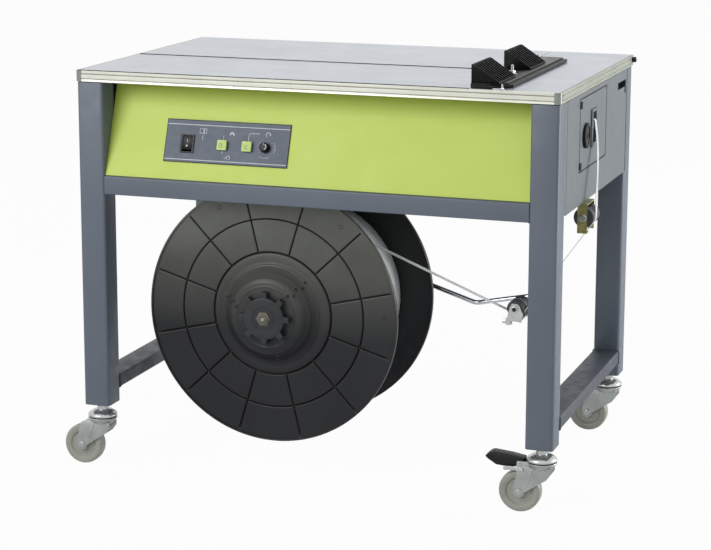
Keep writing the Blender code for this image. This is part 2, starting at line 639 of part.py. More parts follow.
def build_hatch():
    """The hinged hatch, its tension knob, and the fairlead where the strap goes in."""
    out = PANEL_OUT_X
    axis = Vector((HATCH_AXIS_X, HATCH_FRONT_Y, (HATCH_BOTTOM + HATCH_TOP) / 2))
    door = add_extruded("hatch_door", hatch_outline(0), "yz", out - SHEET, out, COVER, origin=axis)
    for number, z in enumerate((HATCH_BOTTOM + 0.003, HATCH_TOP - 0.015), 1):
        leaf = add_box(f"hatch_leaf_{number}", (out - SHEET / 2, HATCH_FRONT_Y + HATCH_SEAM / 2, z),
                       (HATCH_AXIS_X + 0.0005, HATCH_FRONT_Y + 0.006, z + 0.012))
        barrel = add_rod(f"hatch_barrel_{number}", 0.0021, (HATCH_AXIS_X, HATCH_FRONT_Y, z),
                         (HATCH_AXIS_X, HATCH_FRONT_Y, z + 0.012), "z", sides=20)
        join(door, leaf, barrel)
    spindle_hole = add_rod("tension_hole", 0.004 + GAP, (out - 0.01, TENSION_Y, TENSION_Z),
                           (out + 0.01, TENSION_Y, TENSION_Z), "x", sides=16)
    neck_y = INLET_REACH - INLET_RIM
    neck_low = INLET_BOTTOM + INLET_RIM + 0.0005
    neck_high = INLET_BOTTOM + INLET_HEIGHT - INLET_RIM - 0.0005
    inlet_hole = add_box("inlet_hole", (out - 0.01, INLET_Y - neck_y, neck_low),
                         (out + 0.01, INLET_Y + neck_y, neck_high))
    cut(door, spindle_hole, inlet_hole)

    profile = [(0, -0.016), (0.004, -0.016), (0.004, GAP), (TENSION_RADIUS, GAP), (TENSION_RADIUS, 0.0040),
               (TENSION_RADIUS - 0.0015, 0.0055), (0.017, 0.0055), (0.017, 0.0035), (0, 0.0035)]
    add_turned("tension_knob", profile, "x", (out, TENSION_Y, TENSION_Z), BLACK)

    flange = add_box("strap_inlet", (out + GAP, INLET_Y - INLET_REACH, INLET_BOTTOM),
                     (out + INLET_FACE, INLET_Y + INLET_REACH, INLET_BOTTOM + INLET_HEIGHT), BLACK)
    neck = add_box("inlet_neck", (out - 0.008, INLET_Y - neck_y + GAP, neck_low + GAP),
                   (out + 0.001, INLET_Y + neck_y - GAP, neck_high - GAP))
    half = STRAP_WIDTH / 2 + 0.007
    slot = add_box("inlet_slot", (out - 0.02, INLET_Y - half, INLET_BAR_TOP),
                   (out + 0.02, INLET_Y + half, INLET_TOP))
    window = add_box("inlet_window", (out - 0.02, INLET_Y - half + 0.001, INLET_BOTTOM + 0.007),
                     (out + 0.02, INLET_Y + half - 0.001, INLET_BOTTOM + 0.034))
    join(flange, neck)
    cut(flange, slot, window)


# --- Strap guide roller under the right cover ---------------------------------------------------
def build_guide():
    """The yellow zinc bracket bolted under the right cover's flange, and its roller."""
    half = GUIDE_INSIDE / 2
    middle = STRAP_Y
    top = PANEL_BOTTOM - GAP
    low_x = GUIDE_X - 0.0105
    high_x = GUIDE_X + 0.0072
    web = add_box("guide_bracket", (PANEL_OUT_X - 0.024, middle - half - GUIDE_PLATE, top - GUIDE_PLATE),
                  (high_x, middle + half + GUIDE_PLATE, top), YELLOW_ZINC)
    foot = GUIDE_Z - GUIDE_RADIUS - 0.010
    for name, sy in ENDS.items():
        ys = sorted((middle + sy * half, middle + sy * (half + GUIDE_PLATE)))
        join(web, add_box(f"guide_plate_{name}", (low_x, ys[0], foot),
                          (high_x, ys[1], top - GUIDE_PLATE / 2)))
    lip = add_box("guide_lip", (low_x, middle - half - GUIDE_PLATE / 2, foot),
                  (high_x, middle - half + 0.012, foot + GUIDE_PLATE))
    pin = add_rod("guide_pin", 0.004, (GUIDE_X, middle - half - GUIDE_PLATE - 0.003, GUIDE_Z),
                  (GUIDE_X, middle + half + GUIDE_PLATE + 0.003, GUIDE_Z), "y", sides=16)
    screw_head = add_rod("guide_screw_head", 0.0062, (GUIDE_X, middle - half - GUIDE_PLATE - 0.0035, GUIDE_Z),
                         (GUIDE_X, middle - half - GUIDE_PLATE / 2, GUIDE_Z), "y", sides=16)
    join(web, lip, pin, screw_head)
    reach = half - GAP
    add_turned("guide_roller", roller_profile(GUIDE_RADIUS, reach), "y", (GUIDE_X, middle, GUIDE_Z), BLACK,
               closed=True, steps=24)


def roller_profile(radius, reach):
    """A roller with a shallow track for the strap and a bore for a 4 mm pin."""
    track = STRAP_WIDTH / 2 + 0.002
    return [(0.004 + GAP, -reach), (radius, -reach), (radius, -track - 0.0015), (radius - 0.0015, -track),
            (radius - 0.0015, track), (radius, track + 0.0015), (radius, reach), (0.004 + GAP, reach)]


# --- Reel ---------------------------------------------------------------------------------------
def build_reel():
    """Hanger, axle, two flanges, the coil between them, and the locking nut in front."""
    place = (REEL_X, 0, REEL_Z)
    front = REEL_FRONT_Y
    bore = AXLE_RADIUS + GAP
    inner = front + FLANGE_THICK
    rise = HUB_RISE
    thick = FLANGE_THICK
    rim = REEL_RADIUS - RIM_DEPTH
    flange = [(HUB_OUTER, front), (rim, front), (rim + 0.0005, front - RIM_DEPTH),
              (REEL_RADIUS, front - RIM_DEPTH), (REEL_RADIUS, front - RIM_DEPTH + RIM_WIDTH),
              (rim, front - RIM_DEPTH + RIM_WIDTH), (rim, inner), (HUB_OUTER - 0.003, inner),
              (HUB_INNER - 0.003, inner - rise), (bore, inner - rise), (bore, front - rise),
              (HUB_INNER, front - rise)]
    add_turned("reel_flange_front", flange, "y", place, REEL_BLACK, closed=True, steps=40)

    back = REEL_BACK_Y
    inside = back - thick
    drum_front = inner + GAP
    flange = [(bore, inside), (CORE_RADIUS - 0.005, inside), (CORE_RADIUS - 0.005, drum_front),
              (CORE_RADIUS, drum_front), (CORE_RADIUS, inside), (rim, inside),
              (rim, back + RIM_DEPTH - RIM_WIDTH), (REEL_RADIUS, back + RIM_DEPTH - RIM_WIDTH),
              (REEL_RADIUS, back + RIM_DEPTH), (rim + 0.0005, back + RIM_DEPTH), (rim, back), (bore, back)]
    add_turned("reel_flange_rear", flange, "y", place, REEL_BLACK, closed=True, steps=40)

    coil = [(CORE_RADIUS + GAP, inner + GAP), (COIL_RADIUS, inner + GAP), (COIL_RADIUS, inside - GAP),
            (CORE_RADIUS + GAP, inside - GAP)]
    add_turned("strap_coil", coil, "y", place, STRAP_WHITE, closed=True, steps=40)

    nut_back = front - rise - GAP
    nut = add_turned("reel_lock_nut", [(bore, nut_back), (0.038, nut_back), (0.038, nut_back - 0.013),
                                       (0.030, nut_back - 0.014), (bore, nut_back - 0.014)],
                     "y", place, REEL_BLACK, closed=True, steps=28)
    tabs = bmesh.new()
    for i in range(8):
        made = bmesh.ops.create_cube(tabs, size=1.0)["verts"]
        bmesh.ops.scale(tabs, vec=(0.014, 0.012, 0.010), verts=made)
        bmesh.ops.translate(tabs, vec=(0.041, nut_back - 0.0065, 0), verts=made)
        bmesh.ops.rotate(tabs, cent=(0, 0, 0), matrix=Matrix.Rotation(math.tau * i / 8, 3, "Y"), verts=made)
    join(nut, add_object("lock_nut_tabs", to_mesh("lock_nut_tabs", tabs), None, place))

    post_front = back + 0.008
    post_rear = post_front + 0.028
    axle_front = nut_back - 0.014
    profile = [(0, post_front + 0.006), (AXLE_RADIUS, post_front + 0.006), (AXLE_RADIUS, axle_front),
               (0.0085, axle_front), (0.0085, axle_front - 0.005), (0, axle_front - 0.005)]
    collar_front = back + RIM_DEPTH / 2
    collar = [(AXLE_RADIUS - 0.001, post_front - GAP), (0.016, post_front - GAP), (0.016, collar_front),
              (AXLE_RADIUS - 0.001, collar_front)]
    axle = add_turned("reel_axle", profile, "y", place, STEEL, steps=32)
    join(axle, add_turned("axle_collar", collar, "y", place, closed=True, steps=32))

    build_hanger(post_front, post_rear)


def build_hanger(post_front, post_rear):
    """The welded hanger: an arm from the rear rail under the pan, and a post down to the axle."""
    x = REEL_X
    half = 0.020
    arm_top = RAIL_TOP - GAP
    post = add_box("reel_hanger", (x - half, post_front, REEL_Z - 0.030), (x + half, post_rear, arm_top),
                   PAINT)
    arm = add_box("hanger_arm", (x - half, post_front + 0.002, arm_top - 0.030),
                  (x + half, LEG_IN_Y - GAP, arm_top))
    brace = add_extruded("hanger_brace", [(post_rear - 0.002, arm_top - 0.028),
                                          (post_rear - 0.002, arm_top - 0.110),
                                          (post_rear + 0.080, arm_top - 0.028)],
                         "yz", x - 0.003, x + 0.003)
    pivot = add_rod("arm_pivot_pin", 0.005, (x, post_rear - 0.004, SWING_PIVOT_Z),
                    (x, ARM_Y + 0.016, SWING_PIVOT_Z), "y", sides=16)
    join(post, arm, brace, pivot)
    seat = add_rod("axle_seat", AXLE_RADIUS + GAP, (x, post_front - 0.01, REEL_Z),
                   (x, post_front + 0.006 + GAP, REEL_Z), "y", sides=32)
    cut(post, seat)


# --- Swing arm with its roller ------------------------------------------------------------------
def curve_as_mesh(curve):
    """A curve's solid as a mesh object of the same name, with its caps welded on."""
    view = bpy.context.evaluated_depsgraph_get()
    mesh = bpy.data.meshes.new_from_object(curve.evaluated_get(view))
    bm = bmesh.new()
    bm.from_mesh(mesh)
    bmesh.ops.remove_doubles(bm, verts=bm.verts, dist=0.00001)
    bmesh.ops.recalc_face_normals(bm, faces=bm.faces)
    bm.to_mesh(mesh)
    bm.free()
    name = curve.name
    finished = bpy.data.objects.new(name + "_mesh", mesh)
    finished.parent = curve.parent
    finished.location = curve.location
    PARTS.objects.link(finished)
    bpy.data.objects.remove(curve, do_unlink=True)
    finished.name = name
    return finished


def build_swing_arm():
    """The bent rod on its pivot, and the bracket clamped near its end that carries the roller."""
    pivot = Vector((REEL_X, ARM_Y, SWING_PIVOT_Z))
    points = [(REEL_X + 0.009, SWING_PIVOT_Z - 0.0029)]
    fall = math.degrees(math.atan2(SWING_PIVOT_Z - ARM_BEND_Z, ARM_BEND_X - REEL_X))
    climb = math.degrees(math.atan2(ARM_END_Z - ARM_BEND_Z, ARM_END_X - ARM_BEND_X))
    radius = 0.030
    back = radius * math.tan(math.radians((fall + climb) / 2))
    down = math.radians(fall)
    start = (ARM_BEND_X - back * math.cos(down), ARM_BEND_Z + back * math.sin(down))
    centre = (start[0] + radius * math.sin(down), start[1] + radius * math.cos(down))
    points += arc(centre, radius, -90 - fall, -90 + climb, 6)
    points.append((ARM_END_X, ARM_END_Z))

    data = bpy.data.curves.new("swing_arm", "CURVE")
    data.dimensions = "3D"
    data.bevel_depth = ARM_ROD_RADIUS
    data.bevel_resolution = 3
    data.use_fill_caps = True
    line = data.splines.new("POLY")
    line.points.add(len(points) - 1)
    for spot, (x, z) in zip(line.points, points):
        spot.co = (x - pivot.x, 0, z - pivot.z, 1)
    arm = curve_as_mesh(add_object("swing_arm", data, STEEL, pivot))
    eye = [(0.005 + GAP, -0.008), (0.011, -0.008), (0.011, 0.008), (0.005 + GAP, 0.008)]
    join(arm, add_turned("arm_eye", eye, "y", pivot, closed=True, steps=32))

    roller = Vector((SWING_ROLLER_X, STRAP_Y, SWING_ROLLER_Z))
    half = SWING_ROLLER_LENGTH / 2
    near = roller.y - half - GAP
    far = roller.y + half + GAP
    on_rod = ARM_END_Z - (ARM_END_X - SWING_ROLLER_X) * math.tan(math.radians(climb))
    sheet = 0.003
    outline = [(roller.x - 0.005, roller.z + 0.010), (roller.x - 0.009, roller.z + 0.003),
               (roller.x - 0.015, roller.z - 0.020), (roller.x + 0.012, roller.z - 0.024),
               (roller.x + 0.015, roller.z - 0.010), (roller.x + 0.009, roller.z + 0.006),
               (roller.x + 0.004, roller.z + 0.010)]
    plate = add_extruded("roller_bracket", outline, "xz", near - sheet, near, ZINC, origin=pivot)
    far_plate = add_extruded("bracket_far_plate", outline, "xz", far, far + sheet)
    web = add_box("bracket_web", (roller.x - 0.012, near - sheet / 2, roller.z - 0.0230),
                  (roller.x + 0.010, ARM_Y + 0.008, roller.z - 0.0195))
    clamp = add_box("bracket_clamp", (roller.x - 0.012, ARM_Y - 0.010, roller.z - 0.0205),
                    (roller.x + 0.010, ARM_Y + 0.010, on_rod + 0.010))
    pin = add_rod("bracket_pin", 0.004, (roller.x, near - sheet - 0.003, roller.z),
                  (roller.x, far + sheet + 0.002, roller.z), "y", sides=16)
    bolt = add_rod("bracket_bolt", 0.005, (roller.x - 0.024, near + 0.006, roller.z - 0.0245),
                   (roller.x - 0.0155, near + 0.006, roller.z - 0.0245), "x", sides=6)
    bolt_seat = add_box("bracket_bolt_seat", (roller.x - 0.0170, near - sheet * 0.4, roller.z - 0.0305),
                        (roller.x - 0.0080, near + 0.0125, roller.z - 0.0185))
    join(plate, far_plate, web, clamp, pin, bolt_seat, bolt)
    rod_bore = add_rod("clamp_bore", ARM_ROD_RADIUS + GAP, (-0.05, 0, 0), (0.05, 0, 0), "x", sides=16)
    rod_bore.location = (SWING_ROLLER_X, ARM_Y, on_rod)
    rod_bore.rotation_euler = (0, -math.radians(climb), 0)
    cut(plate, rod_bore)
    add_turned("swing_roller", roller_profile(SWING_ROLLER_RADIUS, half), "y", roller, BLACK, closed=True,
               steps=24)


# --- Strap from the coil to the inlet -----------------------------------------------------------
def heading(start, start_side, end, end_side):
    """Direction of the line that touches two circles (x, z, radius); side 1 has a centre on its left."""
    across = Vector((end[0] - start[0], end[1] - start[1]))
    rise = end_side * end[2] - start_side * start[2]
    return math.degrees(math.atan2(across.y, across.x) - math.asin(rise / across.length))


def build_strap():
    """One flat strap: off the coil, under the swing roller, round the guide roller, up into the inlet."""
    coil = (REEL_X, REEL_Z, COIL_RADIUS + STRAP_PLAY)
    swing = (SWING_ROLLER_X, SWING_ROLLER_Z, SWING_ROLLER_RADIUS - 0.0015 + STRAP_PLAY)
    guide = (GUIDE_X, GUIDE_Z, GUIDE_RADIUS - 0.0015 + STRAP_PLAY)
    bend = (PANEL_OUT_X + INLET_FACE + GAP + STRAP_PLAY - INLET_BEND, INLET_Z - INLET_BEND)
    tip = arc(bend, INLET_BEND, 15, 90, 5)
    inlet = (*tip[0], 0.0)
    first = heading(coil, -1, swing, 1)
    second = heading(swing, 1, guide, 1)
    third = heading(guide, 1, inlet, 1)
    path = [(x, STRAP_COIL_Y, z) for x, z in arc(coil[:2], coil[2], first + 96, first + 90, 2)]
    path += [(x, STRAP_Y, z) for x, z in arc(swing[:2], swing[2], first - 90, second - 90, 10)]
    path += [(x, STRAP_Y, z) for x, z in arc(guide[:2], guide[2], second - 90, third - 90, 8)]
    last_x, last_y, last_z = path[-1]
    steps = 8
    for i in range(1, steps + 1):
        share = i / steps
        ease = share * share * (3 - 2 * share)
        bow = 0.0035 * math.sin(math.pi * share)
        path.append((last_x + (inlet[0] - last_x) * share + bow, last_y + (INLET_Y - last_y) * ease,
                     last_z + (inlet[1] - last_z) * share))
    path += [(x, INLET_Y, z) for x, z in tip[1:]]
    path.append((PANEL_OUT_X - 0.045, INLET_Y, INLET_Z))

    bm = bmesh.new()
    verts = [bm.verts.new((x, y - STRAP_WIDTH / 2, z)) for x, y, z in path]
    edges = [bm.edges.new(pair) for pair in zip(verts, verts[1:])]
    grown = bmesh.ops.extrude_edge_only(bm, edges=edges)
    moved = [item for item in grown["geom"] if isinstance(item, bmesh.types.BMVert)]
    bmesh.ops.translate(bm, vec=(0, STRAP_WIDTH, 0), verts=moved)
    strap = add_object("strap", to_mesh("strap", bm), STRAP_WHITE, (0, 0, 0))
    mod = strap.modifiers.new("band", "SOLIDIFY")
    mod.thickness = STRAP_THICK
    mod.offset = 0.0
    mod.use_even_offset = True


# --- Casters ------------------------------------------------------------------------------------
def build_casters():
    """Four swivel casters; the rear left one rests turned round, and the front right one has a brake."""
    for end, sy in ENDS.items():
        for side, sx in SIDES.items():
            trail = CASTER_TRAIL if (end, side) == ("rear", "left") else -CASTER_TRAIL
            build_caster(f"{end}_{side}", sx * LEG_X, sy * LEG_Y, trail)
    build_brake(LEG_X, -LEG_Y)


def build_caster(place, x, y, trail):
    """Stem with its upper race, fork with its lower race and axle, and the wheel."""
    stem = [(0, LEG_BOTTOM + 0.030), (STEM_RADIUS, LEG_BOTTOM + 0.030), (STEM_RADIUS, LEG_BOTTOM - GAP),
            (0.0105, LEG_BOTTOM - GAP), (0.0105, RACE_TOP), (0.019, RACE_TOP),
            (SWIVEL_RADIUS - 0.002, RACE_TOP - 0.005), (SWIVEL_RADIUS, RACE_SPLIT + GAP),
            (0, RACE_SPLIT + GAP)]
    add_turned(f"caster_stem_{place}", stem, "z", (x, y, 0), ZINC, steps=20)

    race = [(0, RACE_SPLIT), (SWIVEL_RADIUS - 0.001, RACE_SPLIT), (SWIVEL_RADIUS - 0.001, RACE_SPLIT - 0.003),
            (SWIVEL_RADIUS - 0.004, CROWN), (0, CROWN)]
    fork = add_turned(f"caster_fork_{place}", race, "z", (x, y, 0), ZINC, steps=20)
    axle_x = x + trail
    inside = WHEEL_WIDTH / 2 + 0.002
    outside = inside + FORK_SHEET
    toward = 1 if trail > 0 else -1
    far = axle_x + toward * 0.010
    outline = [(x - toward * 0.020, CROWN + 0.0015), (x + toward * 0.024, CROWN + 0.0015),
               (far, WHEEL_RADIUS + 0.012), (far, WHEEL_RADIUS - 0.009),
               (axle_x - toward * 0.010, WHEEL_RADIUS - 0.009), (x - toward * 0.020, CROWN - 0.012)]
    crown_x = sorted((x - toward * 0.020, x + toward * 0.024))
    crown = add_box(f"crown_{place}", (crown_x[0], y - outside + 0.0004, CROWN - 0.002),
                    (crown_x[1], y + outside - 0.0004, CROWN + 0.0011))
    join(fork, crown)
    for cheek, low in (("near", y - outside), ("far", y + inside)):
        join(fork, add_extruded(f"cheek_{cheek}_{place}", outline, "xz", low, low + FORK_SHEET))
    axle = add_rod(f"caster_axle_{place}", 0.004, (axle_x, y - outside - 0.003, WHEEL_RADIUS),
                   (axle_x, y + outside + 0.003, WHEEL_RADIUS), "y", sides=16)
    join(fork, axle)

    half = WHEEL_WIDTH / 2
    hub = inside - GAP
    bore = 0.004 + GAP
    wheel = [(bore, -hub), (0.011, -hub), (0.012, -half + 0.004), (0.026, -half + 0.002),
             (WHEEL_RADIUS - 0.003, -half), (WHEEL_RADIUS, -half + 0.005)]
    wheel += [(radius, -place_y) for radius, place_y in reversed(wheel)]
    add_turned(f"caster_wheel_{place}", wheel, "y", (axle_x, y, WHEEL_RADIUS), WHEEL_GREY, closed=True,
               steps=24)


def build_brake(x, y):
    """The brake pedal over the front right wheel, turning on a pin between two ears."""
    pivot = Vector((x - 0.035, y, CROWN + 0.006))
    half = WHEEL_WIDTH / 2 + 0.002 + FORK_SHEET
    outline = [(pivot.x + 0.007, pivot.z - 0.0035), (pivot.x + 0.006, pivot.z + 0.005),
               (pivot.x - 0.052, pivot.z + 0.016), (pivot.x - 0.064, pivot.z + 0.007),
               (pivot.x - 0.060, pivot.z + 0.003), (pivot.x - 0.044, pivot.z - 0.007),
               (pivot.x - 0.020, pivot.z - 0.009)]
    pedal = add_extruded("brake_pedal", outline, "xz", y - 0.013, y + 0.013, BLACK, origin=pivot)
    add_bevel(pedal, 0.001)
    fork = bpy.data.objects["caster_fork_front_right"]
    for ear, sy in ENDS.items():
        ys = sorted((y + sy * (0.013 + GAP), y + sy * (half - 0.0005)))
        join(fork, add_box(f"brake_ear_{ear}", (pivot.x - 0.006, ys[0], CROWN - 0.020),
                           (pivot.x + 0.016, ys[1], CROWN + 0.0105)))
    join(fork, add_rod("brake_pin", 0.002, (pivot.x, y - half - 0.001, pivot.z),
                       (pivot.x, y + half + 0.001, pivot.z), "y", sides=16))
    cut(pedal, add_rod("brake_pin_hole", 0.002 + GAP, (pivot.x, y - 0.03, pivot.z),
                       (pivot.x, y + 0.03, pivot.z), "y", sides=16))


# --- Inside the cabinet -------------------------------------------------------------------------
SHAFT_X = HEAD_LEFT + 0.0315
SHAFT_Z = TABLE_HEIGHT - 0.107
SHAFT_RADIUS = 0.008
PRESS_Y = HEAD_FRONT + 0.222
PRESS_SIDE = (0.030, 0.020)
PRESS_STROKE = 0.008
GUIDE_TOP = TABLE_HEIGHT - 0.030
SLIDE_TRAVEL = 0.012
MOTOR_RADIUS = 0.046
MOTOR_X = SHAFT_X - 0.130
MOTOR_Z = SHAFT_Z - 0.013


def build_mechanism():
    """Frame, geared motor, camshaft, press head, slide plate, feed roller and control box."""
    floor = RAIL_TOP + 2 * GAP + SHEET
    left = SHAFT_X - 0.035
    right = SHAFT_X + 0.030
    mid = PRESS_Y
    frame = add_box("mechanism_frame", (SHAFT_X - 0.060, mid - 0.070, floor),
                    (SHAFT_X + 0.055, mid + 0.080, floor + 0.006), STEEL)
    for name, y in (("front", mid - 0.046), ("rear", mid + 0.038)):
        join(frame, add_box(f"cheek_{name}", (left, y, floor + 0.005), (right, y + 0.008, GUIDE_TOP)))
    join(frame, add_box("press_guide", (left, mid - 0.044, GUIDE_TOP - 0.022),
                        (right, mid + 0.044, GUIDE_TOP - 0.001)))
    shaft_bore = add_rod("shaft_bore", SHAFT_RADIUS + GAP, (SHAFT_X, mid - 0.07, SHAFT_Z),
                         (SHAFT_X, mid + 0.08, SHAFT_Z), "y")
    half_x = PRESS_SIDE[0] / 2
    half_y = PRESS_SIDE[1] / 2
    press_bore = add_box("press_bore", (SHAFT_X - half_x - GAP, mid - half_y - GAP, GUIDE_TOP - 0.04),
                         (SHAFT_X + half_x + GAP, mid + half_y + GAP, GUIDE_TOP + 0.01))
    cut(frame, shaft_bore, press_bore)

    shaft = add_rod("cam_shaft", SHAFT_RADIUS, (SHAFT_X, mid - 0.060, SHAFT_Z),
                    (SHAFT_X, mid + 0.100, SHAFT_Z), "y", STEEL)
    for number, y in enumerate((mid - 0.012, mid + 0.010), 1):
        join(shaft, add_rod(f"cam_{number}", 0.018, (SHAFT_X, y, SHAFT_Z - 0.005),
                            (SHAFT_X, y + 0.012, SHAFT_Z - 0.005), "y"))
    join(shaft, add_rod("cam_gear", 0.032, (SHAFT_X, mid + 0.066, SHAFT_Z), (SHAFT_X, mid + 0.080, SHAFT_Z),
                        "y"))

    head = add_box("press_head", (SHAFT_X - half_x, mid - half_y, SHAFT_Z + 0.029),
                   (SHAFT_X + half_x, mid + half_y, TABLE_HEIGHT - 0.0112), STEEL)
    add_bevel(head, 0.001)

    low_x, low_y = WINDOW_LOW
    high_x, high_y = WINDOW_HIGH
    add_box("slide_plate", (low_x + GAP, low_y + 0.05, TABLE_HEIGHT - 0.0022),
            (high_x - GAP - SLIDE_TRAVEL, high_y - 0.05, TABLE_HEIGHT - 0.0002), STEEL)

    radius = MOTOR_RADIUS
    motor_front = mid - 0.090
    gearbox = radius + 0.004
    body = [(0, motor_front), (radius - 0.010, motor_front), (radius, motor_front + 0.010),
            (radius, mid + 0.030), (gearbox, mid + 0.030), (gearbox, mid + 0.066), (0.012, mid + 0.066),
            (0.012, mid + 0.080), (0, mid + 0.080)]
    motor = add_turned("drive_motor", body, "y", (MOTOR_X, 0, MOTOR_Z), CAST, steps=24)
    join(motor, add_box("motor_foot", (MOTOR_X - 0.040, mid - 0.060, floor),
                        (MOTOR_X + 0.040, mid + 0.050, MOTOR_Z - 0.020)))

    feed = Vector((PANEL_OUT_X - 0.045, INLET_Y, INLET_Z - STRAP_PLAY - FEED_RADIUS))
    face = STRAP_WIDTH / 2 + 0.003
    add_turned("feed_roller", [(0, -0.020), (0.005, -0.020), (0.005, -face), (FEED_RADIUS, -face),
                               (FEED_RADIUS, face), (0.005, face), (0.005, 0.030), (0, 0.030)],
               "y", feed, STEEL, steps=24)
    near = feed.y + face + 0.003
    bearing = add_box("feed_roller_bearing", (feed.x - 0.012, near, floor),
                      (feed.x + 0.012, near + 0.014, feed.z + 0.012))
    bearing_bore = add_rod("feed_bearing_bore", 0.005 + GAP, (feed.x, feed.y - 0.01, feed.z),
                           (feed.x, feed.y + 0.04, feed.z), "y", sides=16)
    tie = add_box("feed_bearing_tie", (SHAFT_X + 0.050, near, floor),
                  (feed.x + 0.012, near + 0.014, floor + 0.006))
    join(frame, tie, bearing)
    cut(frame, bearing_bore)

    add_box("control_box", (-0.330, 0.020, floor), (-0.150, 0.180, floor + 0.070), CAST, bevel=0.002)


build_legs()
build_rails()
build_edge_band()
build_top_plates()
build_front_panel()
build_side_covers()
build_rear_cover_and_pan()
build_controls()
build_head()
build_hatch()
build_guide()
build_reel()
build_swing_arm()
build_strap()
build_casters()
build_mechanism()
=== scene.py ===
"""Semi automatic strapping machine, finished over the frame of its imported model.

Metres, +Z up; the operator stands at -Y and the strapping head is towards +X. Sheet covers and flat plates
are the frame's own pieces with a finish; the rest is worked out in place and rides on one of the bodies.
"""
import math

import bpy
import numpy as np
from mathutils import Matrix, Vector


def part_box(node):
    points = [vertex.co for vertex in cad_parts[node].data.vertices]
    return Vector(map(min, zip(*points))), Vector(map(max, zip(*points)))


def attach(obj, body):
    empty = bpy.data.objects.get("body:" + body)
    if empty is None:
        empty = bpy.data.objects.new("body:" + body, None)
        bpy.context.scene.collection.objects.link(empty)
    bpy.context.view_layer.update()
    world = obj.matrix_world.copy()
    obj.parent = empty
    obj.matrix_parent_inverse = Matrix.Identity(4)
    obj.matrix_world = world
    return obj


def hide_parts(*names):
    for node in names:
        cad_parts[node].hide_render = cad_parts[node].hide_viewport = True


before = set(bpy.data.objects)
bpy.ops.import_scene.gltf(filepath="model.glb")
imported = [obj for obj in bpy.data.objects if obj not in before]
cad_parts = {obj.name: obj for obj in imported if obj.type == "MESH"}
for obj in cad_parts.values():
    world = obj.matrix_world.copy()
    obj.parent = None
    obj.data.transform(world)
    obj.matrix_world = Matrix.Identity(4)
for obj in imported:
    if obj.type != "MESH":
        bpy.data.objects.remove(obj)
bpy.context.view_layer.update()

# --- Camera ---------------------------------------------------------------------------------------
# A long lens from the operator's right, a little above the table, with a small vertical shift.
CAMERA_YAW = 0.33359
CAMERA_DOWN = 0.20364
CAMERA_ROLL = -0.00225
CAMERA_PLACE = (1.2827, -3.7477, 1.2244)    # from the middle of the table, on the floor
LENS_MM = 108.63
TABLE_MIDDLE = (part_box("table_edge_band")[0].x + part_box("table_edge_band")[1].x) / 2

camera_data = bpy.data.cameras.new("camera")
camera_data.sensor_width = 36.0
camera_data.lens = LENS_MM
camera_data.shift_y = -0.05
camera_data.clip_end = 60.0
camera = bpy.data.objects.new("camera", camera_data)
camera.location = (TABLE_MIDDLE + CAMERA_PLACE[0], *CAMERA_PLACE[1:])
camera.rotation_euler = (math.pi / 2 - CAMERA_DOWN, CAMERA_ROLL, CAMERA_YAW)
bpy.context.scene.collection.objects.link(camera)
bpy.context.scene.camera = camera
bpy.context.scene.view_settings.view_transform = "Standard"

# --- Legs and rails -------------------------------------------------------------------------------
# Square steel tubes with rounded corners, welded together at the rails' ends and coated with a blue-grey
# powder paint, which leaves a fine orange-peel surface over tubes and weld beads alike.
TUBE_CORNER = 0.0055
RAIL_CORNER = 0.003
BEAD_RADIUS = 0.0019
RIPPLE = 0.0009
AXES = {"x": (1, 2, 0), "y": (0, 2, 1), "z": (0, 1, 2)}


def tone(red, green, blue):
    """A screen colour from 0 to 255 as the linear colour that a shader takes."""
    screen = np.array([red, green, blue]) / 255
    linear = np.where(screen <= 0.04045, screen / 12.92, ((screen + 0.055) / 1.055) ** 2.4)
    return (*linear.tolist(), 1.0)


def new_group(name, inputs, outputs):
    """An empty shader group with named sockets, its input sockets and its output node."""
    group = bpy.data.node_groups.new(name, "ShaderNodeTree")
    for label, kind in inputs.items():
        group.interface.new_socket(label, in_out="INPUT", socket_type="NodeSocket" + kind)
    for label, kind in outputs.items():
        group.interface.new_socket(label, in_out="OUTPUT", socket_type="NodeSocket" + kind)
    return group, group.nodes.new("NodeGroupInput").outputs, group.nodes.new("NodeGroupOutput")


def feed(tree, node, inputs):
    """Gives each input of a node a value, or the socket that feeds it."""
    for label, source in inputs.items():
        if isinstance(source, bpy.types.NodeSocket):
            tree.links.new(source, node.inputs[label])
        else:
            node.inputs[label].default_value = source
    return node


def add_node(tree, kind, inputs=None, **settings):
    """A shader node of a kind with its settings and inputs."""
    node = tree.nodes.new("ShaderNode" + kind)
    for label, value in settings.items():
        setattr(node, label, value)
    return feed(tree, node, inputs or {})


def spread(tree, source, low, high, to_low=0.0, to_high=1.0):
    """Stretches the middle of a noise to 0 and 1, or to two other values."""
    node = add_node(tree, "MapRange", {"Value": source, "From Min": low, "From Max": high,
                                       "To Min": to_low, "To Max": to_high})
    return node.outputs["Result"]


def blend(tree, share, first, second):
    """A colour mixed from two, by the second one's share."""
    return add_node(tree, "Mix", {"Factor": share, "A": first, "B": second},
                    data_type="RGBA").outputs["Result"]


def stretched_noise(group, given, detail):
    """A noise whose stretch turns its dots into lines along one axis."""
    scaled = add_node(group, "VectorMath", {0: given["Vector"], 1: given["Stretch"]}, operation="MULTIPLY")
    noise = add_node(group, "TexNoise", {"Vector": scaled.outputs["Vector"], "Scale": 1.0,
                                         "Detail": detail})
    return noise.outputs["Fac"]


